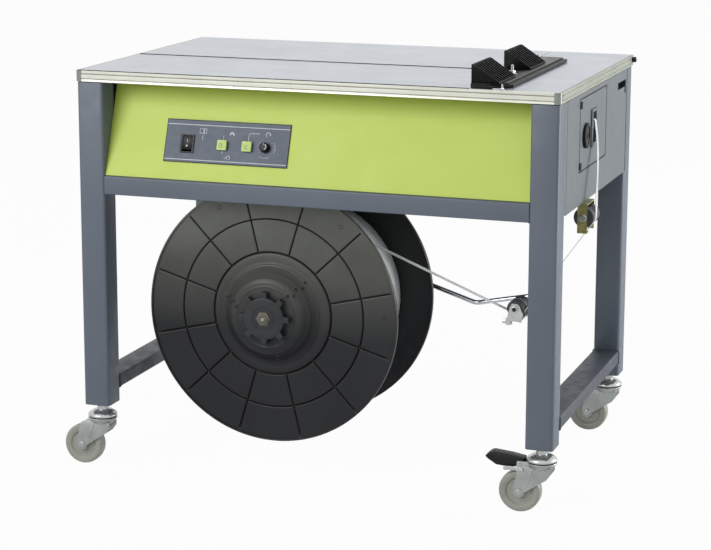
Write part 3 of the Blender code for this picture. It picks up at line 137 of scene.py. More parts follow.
def make_uneven_finish():
    """Colour drifts to a second shade in soft patches, and roughness wanders between two values."""
    sockets = {"Vector": "Vector", "Colour": "Color", "Shade": "Color", "Patches": "Float",
               "Smooth": "Float", "Rough": "Float"}
    group, given, result = new_group("uneven_finish", sockets, {"Colour": "Color", "Roughness": "Float"})
    patches = add_node(group, "TexNoise", {"Vector": given["Vector"], "Scale": given["Patches"],
                                           "Detail": 4.0})
    closer = add_node(group, "Math", {0: given["Patches"], 1: 7.0}, operation="MULTIPLY")
    smears = add_node(group, "TexNoise", {"Vector": given["Vector"], "Scale": closer.outputs["Value"],
                                          "Detail": 3.0})
    share = spread(group, patches.outputs["Fac"], 0.36, 0.64)
    wander = spread(group, smears.outputs["Fac"], 0.35, 0.65, given["Smooth"], given["Rough"])
    feed(group, result, {"Colour": blend(group, share, given["Colour"], given["Shade"]),
                         "Roughness": wander})
    return group


def make_surface_grain():
    """Height of a fine grain, as dots or as lines along one axis."""
    sockets = {"Vector": "Vector", "Stretch": "Vector"}
    group, given, result = new_group("surface_grain", sockets, {"Height": "Float"})
    feed(group, result, {"Height": stretched_noise(group, given, 2.5)})
    return group


def make_fine_scratches():
    """A mask of sparse thin lines: a stretched noise, kept only where it peaks."""
    sockets = {"Vector": "Vector", "Stretch": "Vector"}
    group, given, result = new_group("fine_scratches", sockets, {"Mask": "Float"})
    feed(group, result, {"Mask": spread(group, stretched_noise(group, given, 1.0), 0.66, 0.74)})
    return group


UNEVEN_FINISH = make_uneven_finish()
SURFACE_GRAIN = make_surface_grain()
FINE_SCRATCHES = make_fine_scratches()


def finish(name, colour, shade, smooth, rough, metallic=0.0, patches=9.0, grain=700, depth=0.00004,
           scratches=None, scratch_colour=(200, 200, 200), gloss=0.5):
    """A finish from two shades, a range of roughness, a grain with its depth, and optional scratches."""
    material = bpy.data.materials.new(name)
    material.use_nodes = True
    tree = material.node_tree
    place = add_node(tree, "TexCoord").outputs["Object"]
    inputs = {"Vector": place, "Colour": tone(*colour), "Shade": tone(*shade), "Patches": patches,
              "Smooth": smooth, "Rough": rough}
    uneven = add_node(tree, "Group", inputs, node_tree=UNEVEN_FINISH)
    surface = uneven.outputs["Colour"]
    if scratches:
        worn = add_node(tree, "Group", {"Vector": place, "Stretch": scratches}, node_tree=FINE_SCRATCHES)
        surface = blend(tree, worn.outputs["Mask"], surface, tone(*scratch_colour))
    texture = add_node(tree, "Group", {"Vector": place, "Stretch": np.broadcast_to(grain, 3).tolist()},
                       node_tree=SURFACE_GRAIN)
    bump = add_node(tree, "Bump", {"Distance": depth, "Height": texture.outputs["Height"]})
    feed(tree, tree.nodes["Principled BSDF"], {
        "Metallic": metallic, "Specular IOR Level": gloss, "Base Color": surface,
        "Roughness": uneven.outputs["Roughness"], "Normal": bump.outputs["Normal"]})
    return material


def in_space(across, up, along, axis):
    """Two coordinates across an axis and one along it, as x, y, z."""
    across, up, along = np.broadcast_arrays(across, up, along)
    points = np.empty(across.shape + (3,))
    for column, values in zip(AXES[axis], (across, up, along)):
        points[..., column] = values
    return points


def middle(node):
    """The centre of a frame piece's box, as an array."""
    low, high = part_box(node)
    return (np.array(low) + high) / 2


def outward(points, quads, caps):
    """Turns all faces round where the volume, the sum of corner · (corner × corner), is below zero."""
    a, b, c, d = (points[quads[:, i]] for i in range(4))
    volume = (a * np.cross(b, c)).sum() + (a * np.cross(c, d)).sum()
    for cap in caps:
        ring = points[cap]
        volume += (ring[0] * np.cross(ring[1:-1], ring[2:])).sum()
    if volume < 0:
        return points, quads[:, ::-1], [cap[::-1] for cap in caps]
    return points, quads, caps


def loft(rings, loop=False):
    """A skin over closed rings, each joined to the next; its ends are capped, or joined to each other."""
    rings = np.asarray(rings, float)
    rows, columns = rings.shape[:2]
    index = np.arange(rows * columns).reshape(rows, columns)
    caps = [] if loop else [index[0][::-1], index[-1]]
    if loop:
        index = np.vstack([index, index[:1]])
    quads = np.stack([index[:-1], np.roll(index[:-1], -1, 1), np.roll(index[1:], -1, 1), index[1:]], -1)
    return outward(rings.reshape(-1, 3), quads.reshape(-1, 4), caps)


def inset(outline, by):
    """Each corner moved along the sum of its two inward normals over (1 + their dot product)."""
    edges = np.roll(outline, -1, 0) - outline
    normals = np.stack([-edges[:, 1], edges[:, 0]], 1) / np.linalg.norm(edges, axis=1, keepdims=True)
    before = np.roll(normals, 1, 0)
    return outline + by * (before + normals) / (1 + (before * normals).sum(1, keepdims=True))


def slab(outline, axis, low, high, bevel=0.0, steps=2):
    """An outline given thickness along an axis; near each end it shrinks by a quarter circle."""
    outline = np.asarray(outline, float)
    following = np.roll(outline, -1, 0)
    if (outline[:, 0] * following[:, 1] - following[:, 0] * outline[:, 1]).sum() < 0:
        outline = outline[::-1]
    if not bevel:
        return loft([in_space(*outline.T, low, axis), in_space(*outline.T, high, axis)])
    turn = np.linspace(0, math.pi / 2, steps + 1)
    rings = [in_space(*inset(outline, bevel * (1 - math.sin(t))).T, low + bevel * (1 - math.cos(t)), axis)
             for t in turn]
    rings += [in_space(*inset(outline, bevel * (1 - math.sin(t))).T, high - bevel * (1 - math.cos(t)), axis)
              for t in turn[::-1]]
    return loft(rings)


def rounded_rectangle(low, high, radius, steps=4):
    """A rectangle's outline whose four corners are quarter circles."""
    middle = (np.array(low) + high) / 2
    reach = (np.array(high) - low) / 2 - radius
    quarter = np.linspace(0, math.pi / 2, steps + 1)
    angle = (quarter + np.arange(4)[:, None] * math.pi / 2).ravel()
    corner = np.repeat([[1, 1], [-1, 1], [-1, -1], [1, -1]], steps + 1, axis=0)
    return middle + corner * reach + radius * np.stack([np.cos(angle), np.sin(angle)], 1)


def centred_rectangle(x, z, half_x, half_z, radius):
    """The same outline from its middle and its half sizes."""
    return rounded_rectangle((x - half_x, z - half_z), (x + half_x, z + half_z), radius)


def block(low, high, bevel=0.0):
    """A box between two corners with rounded edges."""
    if not bevel:
        return slab(rounded_rectangle(low[:2], high[:2], 0.00001, 1), "z", low[2], high[2])
    return slab(rounded_rectangle(low[:2], high[:2], bevel, 2), "z", low[2], high[2], bevel)


def turned(profile, axis, centre, steps=48, loop=False, flutes=0, depth=0.0):
    """Profile points (radius, place on the axis) carried round it; flutes cut in by up to the depth."""
    profile = np.asarray(profile, float)
    angle = np.arange(steps) / steps * math.tau
    radius = profile[:, :1] + depth * (np.cos(flutes * angle) - 1) / 2
    first, second, third = AXES[axis]
    return loft(in_space(centre[first] + radius * np.cos(angle), centre[second] + radius * np.sin(angle),
                         centre[third] + profile[:, 1:], axis), loop)


def add_piece(name, shapes, body, slot, material, *stands_for, crease=32):
    """One mesh from several shapes, riding on a body; edges sharper than the crease stay sharp."""
    points, faces = [], []
    count = 0
    for shape_points, quads, caps in shapes:
        faces += (quads + count).tolist() + [(cap + count).tolist() for cap in caps]
        points.append(shape_points)
        count += len(shape_points)
    mesh = bpy.data.meshes.new(name)
    mesh.from_pydata(np.vstack(points).tolist(), [], faces)
    mesh.shade_smooth()
    mesh.set_sharp_from_angle(angle=math.radians(crease))
    mesh.materials.append(material)
    piece = bpy.data.objects.new(name, mesh)
    bpy.context.scene.collection.objects.link(piece)
    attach(piece, body)
    if stands_for:
        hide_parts(*stands_for)
    return piece


def give(material, *nodes):
    """Puts one finish on the frame's own pieces."""
    for node in nodes:
        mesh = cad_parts[node].data
        mesh.materials.clear()
        mesh.materials.append(material)


def weld_bead(outline, axis, place, radius=BEAD_RADIUS):
    """A rippled roll along an outline: a circle of radius r · (1 + 0.13 · sin(length / ripple))."""
    following = np.roll(outline, -1, 0)
    spans = np.linalg.norm(following - outline, axis=1)
    along = np.concatenate([[0], np.cumsum(spans)])
    closed = np.vstack([outline, outline[:1]])
    count = int(along[-1] / RIPPLE)
    spot = np.arange(count) / count * along[-1]
    path = np.stack([np.interp(spot, along, closed[:, i]) for i in (0, 1)], 1)
    heading = np.roll(path, -1, 0) - np.roll(path, 1, 0)
    out = np.stack([heading[:, 1], -heading[:, 0]], 1) / np.linalg.norm(heading, axis=1, keepdims=True)
    around = np.arange(8) / 8 * math.tau
    swell = radius * (1 + 0.13 * np.sin(spot / RIPPLE))[:, None]
    ring = path[:, None] + out[:, None] * (swell * np.cos(around))[..., None]
    return loft(in_space(ring[..., 0], ring[..., 1], place + swell * np.sin(around), axis), loop=True)


frame_paint = finish("frame_paint", (101, 110, 122), (95, 104, 116), 0.36, 0.5, patches=5, depth=0.00003)
for place in ("front_left", "front_right", "rear_left", "rear_right"):
    low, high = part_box("leg_" + place)
    tube = slab(rounded_rectangle(low[:2], high[:2], TUBE_CORNER, 5), "z", low.z, high.z, 0.0012)
    add_piece("leg_tube_" + place, [tube], "frame", "frame_paint", frame_paint, "leg_" + place)

# The lower rails, where shoes rub, are scuffed along their length; their paint is a shade darker than the
# legs', as painted shade for the dim light low under the table.
shaded_rail_paint = finish("lower_rail_paint_painted_shade", (66, 73, 83), (58, 65, 75), 0.44, 0.6, patches=7, depth=0.00003,
                    scratches=(260, 9, 260), scratch_colour=(88, 95, 105))
for side in ("left", "right"):
    low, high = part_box("lower_rail_" + side)
    outline = rounded_rectangle((low.x, low.z), (high.x, high.z), RAIL_CORNER)
    shapes = [slab(outline, "y", low.y, high.y)]
    shapes += [weld_bead(outline, "y", y) for y in (low.y + 0.0006, high.y - 0.0006)]
    add_piece("lower_rail_tube_" + side, shapes, "frame", "frame_paint", shaded_rail_paint, "lower_rail_" + side)

for end in ("front", "rear"):
    low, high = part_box("cabinet_rail_" + end)
    outline = rounded_rectangle((low.y, low.z), (high.y, high.z), RAIL_CORNER)
    inner = rounded_rectangle((low.y + 0.0021, low.z), (high.y - 0.0021, high.z - 0.0021), RAIL_CORNER)
    shapes = [slab(outline, "x", low.x, high.x)]
    shapes += [weld_bead(inner, "x", x, 0.0016) for x in (low.x + 0.0004, high.x - 0.0004)]
    add_piece("cabinet_rail_tube_" + end, shapes, "frame", "frame_paint", frame_paint,
              "cabinet_rail_" + end)

# --- Table top ------------------------------------------------------------------------------------
# A bright drawn band with two grooves runs round the front and both ends, capped at its front corners. It
# holds two folded stainless plates, brushed along the table; the rear one lifts on a rod that shows its
# black cap at the right.
CAP_RADIUS = 0.0075
CAP_REACH = 0.012
BAND_WALL = 0.003
BAND_SETBACK = 0.0003

edge_band = finish("edge_band_metal", (238, 238, 226), (229, 230, 218), 0.26, 0.3, metallic=0.88, patches=3,
                   grain=(3, 3, 500), depth=0.000003)
# The band's lower lip is a lighter, less metallic copy of the band metal: a painted highlight.
lit_band_lip = finish("edge_band_lip_painted_highlight", (242, 242, 229), (232, 232, 219), 0.22, 0.28, metallic=0.7, patches=3,
                  grain=(3, 3, 500), depth=0.000003)
# The band on the table's ends takes a darker, duller copy of the band metal: painted shade.
shaded_end_band = finish("edge_band_end_painted_shade", (164, 168, 156), (152, 157, 145), 0.34, 0.44, metallic=0.6, patches=3,
                  grain=(3, 3, 500), depth=0.000003)
# A darker finish for strips in the floors of the band's grooves: painted shade.
groove_painted_shade = finish("groove_painted_shade", (176, 176, 164), (152, 152, 141), 0.5, 0.7, patches=14, gloss=0.3)
stainless = finish("stainless_top", (206, 211, 218), (199, 205, 213), 0.3, 0.38, metallic=0.55, patches=2.2,
                   grain=(20, 1500, 1500), depth=0.000008, scratches=(14, 420, 420),
                   scratch_colour=(225, 229, 234))
corner_metal = finish("corner_cap_metal", (152, 157, 152), (140, 145, 140), 0.24, 0.34, metallic=0.35,
                      patches=12, grain=(1400, 1400, 10), depth=0.000006)
dark_line = finish("shadow_black", (16, 17, 19), (22, 23, 25), 0.6, 0.8, patches=60, gloss=0.2)
band_low, band_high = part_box("table_edge_band")


def band_sweep(profile, rear_short):
    """A closed profile (offset inwards, height) carried round the U of the table's front and ends.

    At a front corner each offset d turns on a radius of (corner radius - d), or squarely past it.
    """
    profile = np.asarray(profile, float)
    offset = profile[:, 0]
    base = np.maximum(offset, CAP_RADIUS)
    reach = base - offset
    turn = np.linspace(0, math.pi / 2, 7)[:, None]
    left_x = band_low.x + base - reach * np.cos(turn)
    front_y = band_low.y + base - reach * np.sin(turn)
    right_x = band_high.x - base + reach * np.sin(turn)
    right_y = band_low.y + base - reach * np.cos(turn)
    rear = np.full((1, len(profile)), band_high.y - rear_short)
    x = np.vstack([left_x[:1], left_x, right_x, right_x[-1:]])
    y = np.vstack([rear, front_y, right_y, rear])
    return loft(in_space(x, y, band_low.z + profile[:, 1], "z"))


def shade_band_ends(piece):
    """Gives a band's faces on the two ends of the table a darker, duller copy of its metal: painted shade."""
    mesh = piece.data
    mesh.materials.append(shaded_end_band)
    centres = np.empty(len(mesh.polygons) * 3)
    mesh.polygons.foreach_get("center", centres)
    away = np.abs(centres[::3] - TABLE_MIDDLE)
    mesh.polygons.foreach_set("material_index",
                              (away > band_high.x - TABLE_MIDDLE - 0.004).astype(np.int32))


tall = band_high.z - band_low.z
groove = 0.0009
out = BAND_SETBACK
wall = [(BAND_WALL, 0), (out + 0.0012, 0), (out + 0.0008, 0.0005), (out + 0.0008, 0.004),
        (out + groove, 0.0045), (out + groove, 0.0055), (out, 0.0061), (out - 0.0002, 0.009),
        (out, 0.0128), (out + groove, 0.0134), (out + groove, 0.0144), (out, 0.015), (out, tall - 0.0005),
        (out + 0.0005, tall), (BAND_WALL, tall)]
flange = [(BAND_WALL - 0.0005, 0), (0.03, 0), (0.03, 0.002), (BAND_WALL - 0.0005, 0.002)]
shade_band_ends(add_piece("edge_band_profile", [band_sweep(wall, 0.0), band_sweep(flange, 0.027)], "frame",
                    "stainless", edge_band, "table_edge_band", crease=12))
# The lip is drawn in the lighter copy of the band metal, as a painted highlight.
lip = [(out - 0.0002, 0.0005), (out + 0.0002, 0.0038), (out + 0.0006, 0.004), (out + 0.0012, 0.004),
       (out + 0.0012, 0.0003), (out + 0.0001, 0.0003)]
shade_band_ends(add_piece("edge_band_lip_highlight", [band_sweep(lip, 0.0)], "frame", "stainless", lit_band_lip,
                    crease=12))
# A darker strip lies in the floor of each groove as painted shade.
grooves = [[(out + 0.0004, z), (out + 0.0004, z + 0.0012), (out + 0.0014, z + 0.0012), (out + 0.0014, z)]
           for z in (0.0044, 0.0133)]
add_piece("edge_band_groove_shadows", [band_sweep(shape, 0.0) for shape in grooves], "frame", "stainless",
          groove_painted_shade)

caps, slots = [], []
for sign, x in ((-1, band_low.x), (1, band_high.x)):
    turn = np.linspace(0, math.pi / 2, 9)
    inner_x = x - sign * CAP_RADIUS
    inner_y = band_low.y + CAP_RADIUS
    arcs = [np.stack([inner_x + sign * r * np.sin(turn), inner_y - r * np.cos(turn)], 1)
            for r in (CAP_RADIUS, CAP_RADIUS - 0.0005)]
    first = [[inner_x - sign * (CAP_REACH - CAP_RADIUS), band_low.y + d] for d in (0, 0.0005)]
    last = [[x - sign * d, inner_y + CAP_REACH - CAP_RADIUS] for d in (0, 0.0005)]
    outline = np.vstack([first[:1], arcs[0], last[:1], last[1:], arcs[1][::-1], first[1:]])
    caps.append(slab(outline, "z", band_low.z, band_high.z, 0.0001, 1))
    y = band_low.y + 0.0146
    ends = sorted((x - sign * 0.0006, x - sign * 0.0001))
    slot = rounded_rectangle((y - 0.0011, band_low.z + 0.0072), (y + 0.0011, band_low.z + 0.0162), 0.001)
    slots.append(slab(slot, "x", *ends))
add_piece("band_corner_caps", caps, "frame", "stainless", corner_metal)
add_piece("band_end_slots", slots, "frame", "black_plastic", dark_line)

give(stainless, "top_plate_fixed", "top_plate_lifting")

# A black strip lies in the seam of each plate as painted shadow: along the lid's front edge and along the
# front band.
fixed_low, fixed_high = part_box("top_plate_fixed")
lid_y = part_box("top_plate_lifting")[0].y
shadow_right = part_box("head_plate")[0].x - 0.0006
split_shadows = []
for low_y, high_y in ((lid_y - 0.0044, lid_y - 0.0004), (band_low.y + 0.0011, fixed_low.y + 0.0026)):
    split_shadow = rounded_rectangle((low_y, fixed_high.z - 0.0006), (high_y, fixed_high.z + 0.0009), 0.0006, 2)
    split_shadows.append(slab(split_shadow, "x", fixed_low.x + 0.0015, shadow_right))
add_piece("plate_seam_shadows", split_shadows, "frame", "black_plastic", dark_line)

# Two small domed screws hold the fixed plate down at its left front.
bright_zinc = finish("bright_zinc", (206, 208, 206), (188, 191, 189), 0.18, 0.3, metallic=0.85, patches=45,
                     grain=300, depth=0.00001)
zinc = finish("zinc_plated", (178, 182, 180), (162, 167, 165), 0.26, 0.38, metallic=0.65, patches=28,
              grain=260, depth=0.00001)
table_z = fixed_high.z
dome = [(0.003, 0.0), (0.0028, 0.0003), (0.0022, 0.0006), (0.001, 0.0008)]
screws = [turned(dome, "z", (TABLE_MIDDLE + x, y, table_z), 20)
          for x, y in ((-0.369, -0.21), (-0.362, -0.177))]
add_piece("plate_screws", screws, "frame", "stainless", bright_zinc)

rod_low, rod_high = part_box("top_hinge_rod")
rod_y, rod_z = middle("top_hinge_rod")[1:]
rod_radius = (rod_high.z - rod_low.z) / 2
black_plastic = finish("black_plastic", (17, 18, 20), (23, 24, 27), 0.32, 0.46, patches=40, grain=1500,
                       depth=0.00002, gloss=0.3)
cap_profile = [(rod_radius * 0.45, -0.003), (rod_radius * 0.52, 0.0), (rod_radius * 0.85, 0.0),
               (rod_radius, -0.001), (rod_radius, -0.0062), (0.003, -0.0062),
               (0.003, rod_low.x - rod_high.x)]
add_piece("hinge_rod_with_cap", [turned(cap_profile, "x", (rod_high.x, rod_y, rod_z), 28)], "frame",
          "black_plastic", black_plastic, "top_hinge_rod")

# --- Cabinet covers -------------------------------------------------------------------------------
# Thin folded sheets: the side covers, rear cover and pan in a light grey powder paint, the sloped front in
# a soft satin lime green that carries a little haze from wiping.
cover_paint = finish("cover_paint", (103, 111, 115), (98, 106, 110), 0.44, 0.52, patches=4, depth=0.00003)
green_paint = finish("green_paint", (200, 220, 94), (197, 217, 90), 0.42, 0.47, patches=3, depth=0.00003,
                     grain=620)

give(cover_paint, "left_cover", "right_cover", "rear_cover", "floor_pan", "hatch_door")
give(green_paint, "front_panel")

# A painted bead of sealer slopes from each cover's front edge down to the leg; black strips at the rear seams
# are painted shadow.
flanges, seam_shadows = [], []
for side, inward, which in (("left", 1, 0), ("right", -1, 1)):
    low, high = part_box(side + "_cover")
    face_x = (low, high)[which].x
    leg_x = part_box("leg_front_" + side)[which].x
    for y, into in ((low.y, 1), (high.y, -1)):
        across = sorted((face_x + inward * 0.0006, face_x + inward * 0.018))
        deep = sorted((y + into * 0.0001, y + into * 0.0014))
        flanges.append(block((across[0], deep[0], low.z + 0.001), (across[1], deep[1], high.z - 0.001)))
    bead = [(face_x + inward * 0.0003, low.y + 0.0012), (face_x + inward * 0.0003, low.y - 0.0004),
            (leg_x - inward * 0.0001, low.y - 0.011), (leg_x + inward * 0.003, low.y - 0.011),
            (leg_x + inward * 0.005, low.y + 0.0012)]
    flanges.append(slab(bead, "z", low.z + 0.001, high.z - 0.001))
    for across, deep, short in (((0.0028, 0.007), (-0.0012, 0.005), 0.001),
                                ((-0.0002, 0.0004), (-0.004, -0.0004), 0.0004)):
        ends = sorted(face_x + inward * a for a in across)
        seam_shadows.append(block((ends[0], high.y + deep[0], low.z + short),
                           (ends[1], high.y + deep[1], high.z - short)))
add_piece("cover_flanges", flanges, "frame", "cover_paint", cover_paint)
add_piece("cover_rear_seam_shadows", seam_shadows, "frame", "black_plastic", dark_line)

# A black strip round the edge of the hatch opening, outside the door's seam, is painted shadow in the seam.
hatch_low, hatch_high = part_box("hatch_door")
hatch_front = hatch_low.y + 0.0004
seam_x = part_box("right_cover")[1].x
hatch_shadow_strips = []
for a, b in (((hatch_front - 0.0022, hatch_low.z - 0.0022), (hatch_high.y + 0.0022, hatch_low.z - 0.0006)),
             ((hatch_front - 0.0022, hatch_high.z + 0.0006),
              (hatch_high.y + 0.0022, hatch_high.z + 0.0022)),
             ((hatch_high.y + 0.0006, hatch_low.z - 0.0022),
              (hatch_high.y + 0.0022, hatch_high.z + 0.0022)),
             ((hatch_front - 0.0022, hatch_low.z - 0.0022), (hatch_front - 0.0008, hatch_high.z + 0.0022))):
    hatch_shadow_strips.append(block((seam_x - 0.0004, *a), (seam_x + 0.0003, *b)))
add_piece("hatch_seam_shadow", hatch_shadow_strips, "frame", "black_plastic", dark_line)

# --- Controls on the slope ------------------------------------------------------------------------
# A grey anodised plate screen-printed in white carries a rocker in a black bezel, two square push buttons
# moulded in translucent green, and a dial knob with a fluted skirt. Sizes are along the slope: across, out
# (towards -Y), up.
SLOPE_TILT = math.radians(19.6)
SLOPE_FOOT = (TABLE_MIDDLE, band_low.y + 0.0075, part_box("cabinet_rail_front")[1].z + 0.0003)
PLATE_FACE = -0.0018
PLATE_MIDDLE = (-0.1665, 0.0715)
PLATE_SIZE = (0.237, 0.078)
ROCKER_PLACE = (-0.2419, 0.0665)
ROCKER_SIZE = (0.0186, 0.025)
ROCKER_THROW = math.radians(8)
BUTTON_PLACES = {"feed": (-0.1738, 0.0667), "reverse": (-0.1264, 0.0667)}
BUTTON_SIDE = 0.0185
KNOB_PLACE = (-0.0925, 0.0667)
INK_THICK = 0.00005


def on_slope(shape):
    """Leans a shape back: y' = y · cos + z · sin, z' = z · cos - y · sin, from the slope's foot."""
    points, quads, caps = shape
    x, y, z = points.T
    cos, sin = math.cos(SLOPE_TILT), math.sin(SLOPE_TILT)
    leaned = np.stack([x, y * cos + z * sin, z * cos - y * sin], 1) + SLOPE_FOOT
    return leaned, quads, caps


def stroke(points, width, face=PLATE_FACE, thick=INK_THICK):
    """A printed line: each point moved half a width to both sides along the mean normal there."""
    points = np.asarray(points, float)
    heading = np.gradient(points, axis=0)
    side = np.stack([-heading[:, 1], heading[:, 0]], 1) / np.linalg.norm(heading, axis=1, keepdims=True)
    outline = np.vstack([points + side * width / 2, (points - side * width / 2)[::-1]])
    return on_slope(slab(outline, "y", face - thick, face))


def line(start, end, width, face=PLATE_FACE):
    """A straight printed line."""
    return stroke([start, np.add(start, end) / 2, end], width, face)


def bow(centre, radius, start, end, count=14):
    """Points on an arc, angles in degrees."""
    angle = np.radians(np.linspace(start, end, count))
    return np.stack([centre[0] + radius * np.cos(angle), centre[1] + radius * np.sin(angle)], 1)


plate_grey = finish("anodised_plate", (96, 104, 118), (91, 99, 113), 0.38, 0.46, patches=12,
                    grain=(60, 60, 2200), depth=0.000006, gloss=0.3)
ink = finish("white_print", (222, 226, 232), (206, 212, 220), 0.45, 0.6, patches=300)
give(plate_grey, "control_plate")

x0, z0 = PLATE_MIDDLE
reach = PLATE_SIZE[0] / 2 - 0.0015
marks = [line((x0 - reach, z0 + up), (x0 + reach, z0 + up), 0.0012) for up in (0.03, -0.0338)]
box_x, box_z = x0 - 0.0475, z0 + 0.0195
box_half_x, box_half_z = 0.0065, 0.0042
marks += [line((box_x - box_half_x, box_z + up), (box_x + box_half_x, box_z + up), 0.0007)
          for up in (-box_half_z, box_half_z)]
marks += [line((box_x + along, box_z - box_half_z), (box_x + along, box_z + box_half_z), width)
          for along, width in ((-box_half_x, 0.0007), (box_half_x, 0.0007), (0.001, 0.0012),
                               (0.0024, 0.0006))]
marks.append(line((box_x, box_z - 0.0165), (box_x, box_z - 0.0075), 0.0008))
feed_mark = np.array(BUTTON_PLACES["feed"])
back_mark = np.array(BUTTON_PLACES["reverse"])
marks += [line(feed_mark + (0, a), feed_mark + (0, b), 0.0008)
          for a, b in ((0.0102, 0.0185), (-0.0102, -0.015))]
marks.append(stroke(bow(feed_mark + (0.0155, 0.0205), 0.0034, 200, -20), 0.0024))
marks.append(stroke(feed_mark + np.array([(0.0115, 0.0215), (0.015, 0.0225), (0.0205, 0.0215)]), 0.0009))
marks.append(line(feed_mark + (0.0045, -0.0225), feed_mark + (0.0085, -0.0225), 0.0008))
marks.append(stroke(bow(feed_mark + (0.0125, -0.0215), 0.0032, 240, -70), 0.0009))
bend = [(0.0005, 0.0102), (0.0005, 0.0175), (0.0008, 0.0225), (0.0035, 0.0245), (0.012, 0.0245),
        (0.0205, 0.0245)]
marks.append(stroke(back_mark + np.array(bend), 0.0009))
knob_x, knob_z = KNOB_PLACE
marks.append(stroke(bow((knob_x + 0.003, knob_z + 0.0235), 0.0042, 30, 250), 0.001))
marks.append(stroke(bow((knob_x + 0.0045, knob_z + 0.0245), 0.0025, -60, 120, 8), 0.0018))
for angle in np.radians(np.linspace(-130, 130, 11)):
    turn = np.array([math.sin(angle), math.cos(angle)])
    ticks = [np.array(KNOB_PLACE) + turn * r for r in (0.0135, 0.0143, 0.0152)]
    marks.append(stroke(ticks, 0.0006))
marks += [stroke(bow(KNOB_PLACE, 0.0185, *ends), 0.0006) for ends in ((-28, 34), (-122, -62))]
add_piece("printed_marks", marks, "frame", "plate_grey", ink)
edge_x, edge_z = PLATE_SIZE[0] / 2 - 0.0005, PLATE_SIZE[1] / 2 - 0.0005
border = [line((x0 - edge_x, z0 + up), (x0 + edge_x, z0 + up), 0.0011) for up in (-edge_z, edge_z)]
border += [line((x0 + side, z0 - edge_z), (x0 + side, z0 + edge_z), 0.0011) for side in (-edge_x, edge_x)]
add_piece("plate_border", border, "frame", "plate_grey", dark_line)

grip = np.linspace(-1, 1, 15)
depth = np.concatenate([-0.005 - 0.0025 * grip ** 2, [0.005, 0.005]])
tall = ROCKER_SIZE[1] / 2
height = np.concatenate([tall * grip, [tall - 0.002, 0.002 - tall]])
cos, sin = math.cos(-ROCKER_THROW), math.sin(-ROCKER_THROW)
rocker_x, rocker_z = ROCKER_PLACE


def on_rocker(depth, height):
    """Outline points of the rocker turned to its resting side, in slope coordinates."""
    return np.stack([0.002 + depth * cos - height * sin, rocker_z + depth * sin + height * cos], 1)


def rocker_mark(low, high, width):
    """A raised mark that follows the rocker's hollow front between two heights."""
    span = np.linspace(low, high, 6)
    face = -0.005 - 0.0025 * (span / tall) ** 2
    outline = np.vstack([on_rocker(face - 0.0001, span), on_rocker(face + 0.0004, span)[::-1]])
    return on_slope(slab(outline, "x", rocker_x - width / 2, rocker_x + width / 2))


rings = []
for half_x, half_z, y in ((0.0132, 0.0167, -0.002), (0.0132, 0.0167, -0.0036), (0.0128, 0.0163, -0.004),
                          (0.01, 0.0146, -0.004), (0.0097, 0.0143, -0.0037), (0.0097, 0.0143, -0.002)):
    rings.append(in_space(*centred_rectangle(rocker_x, rocker_z, half_x, half_z, 0.0012).T, y, "y"))
add_piece("rocker_bezel", [on_slope(loft(rings, loop=True))], "frame", "black_plastic", black_plastic)
half = ROCKER_SIZE[0] / 2 - 0.0002
body = on_slope(slab(on_rocker(depth, height), "x", rocker_x - half, rocker_x + half, 0.0005))
add_piece("rocker_key", [body], "rocker", "black_plastic", black_plastic, "power_rocker", crease=40)
add_piece("rocker_marks", [rocker_mark(0.0022, 0.0066, 0.001), rocker_mark(-0.0066, -0.0032, 0.0034)],
          "rocker", "black_plastic", ink)

button_green = finish("button_green", (178, 206, 92), (168, 198, 82), 0.22, 0.36, patches=60, depth=0.00001)
# The cap's body is a lighter green than the pad on its face: a painted highlight on its edges.
button_edge_painted_highlight = finish("button_edge_painted_highlight", (206, 226, 134), (198, 220, 124), 0.2, 0.34, patches=60, depth=0.00001)
button_ink = finish("button_print", (112, 148, 44), (104, 140, 40), 0.4, 0.52, patches=200)
for name, (x, z) in BUTTON_PLACES.items():
    key = name + "_key"
    back = PLATE_FACE - 0.0023
    half = BUTTON_SIDE / 2
    cap = slab(centred_rectangle(x, z, half, half, 0.0022), "y", back - 0.004, back, 0.001, 3)
    stem = turned([(0.006, back - 0.001), (0.006, 0.01)], "y", (x, 0, z), 28)
    add_piece(name + "_button_cap", [on_slope(cap), on_slope(stem)], key, "button_plastic", button_edge_painted_highlight,
              name + "_button")
    face = back - 0.00415
    pad = slab(centred_rectangle(x, z, half - 0.002, half - 0.002, 0.0015), "y", face, back - 0.0039)
    add_piece(name + "_button_pad", [on_slope(pad)], key, "button_plastic", button_green)
    sign = 1 if name == "feed" else -1
    arrow = np.array([(-0.0035, 0.003), (0.0012, 0.0005), (-0.0005, -0.004)]) * (sign, 1) + (x, z)
    mark = [stroke(arrow, 0.0013, face),
            stroke(bow((x - 0.001 * sign, z - 0.001), 0.0042, 140, 300, 9), 0.0008, face)]
    add_piece(name + "_button_mark", mark, key, "button_plastic", button_ink)

face = PLATE_FACE
knob = [(0.003, 0.01), (0.003, face - 0.0003), (0.0095, face - 0.0003), (0.0095, face - 0.0022)]
grip = [(0.0088, face - 0.0022), (0.0083, face - 0.0098), (0.0075, face - 0.011), (0.0052, face - 0.0115)]
add_piece("timer_knob_body", [on_slope(turned(knob, "y", (knob_x, 0, knob_z), 60)),
                              on_slope(turned(grip, "y", (knob_x, 0, knob_z), 160, flutes=20,
                                              depth=0.0009))],
          "timer_dial", "black_plastic", black_plastic, "timer_knob", crease=28)
# A white pointer line, and a white crescent to its right that is a painted highlight on the cap.
pointer_and_highlight = [line((knob_x, knob_z + 0.0034), (knob_x, knob_z + 0.0066), 0.001, face - 0.0115),
           stroke(bow((knob_x, knob_z), 0.0052, -65, 60, 12), 0.0015, face - 0.0115)]
add_piece("timer_knob_pointer_and_highlight", pointer_and_highlight, "timer_dial", "black_plastic", ink)

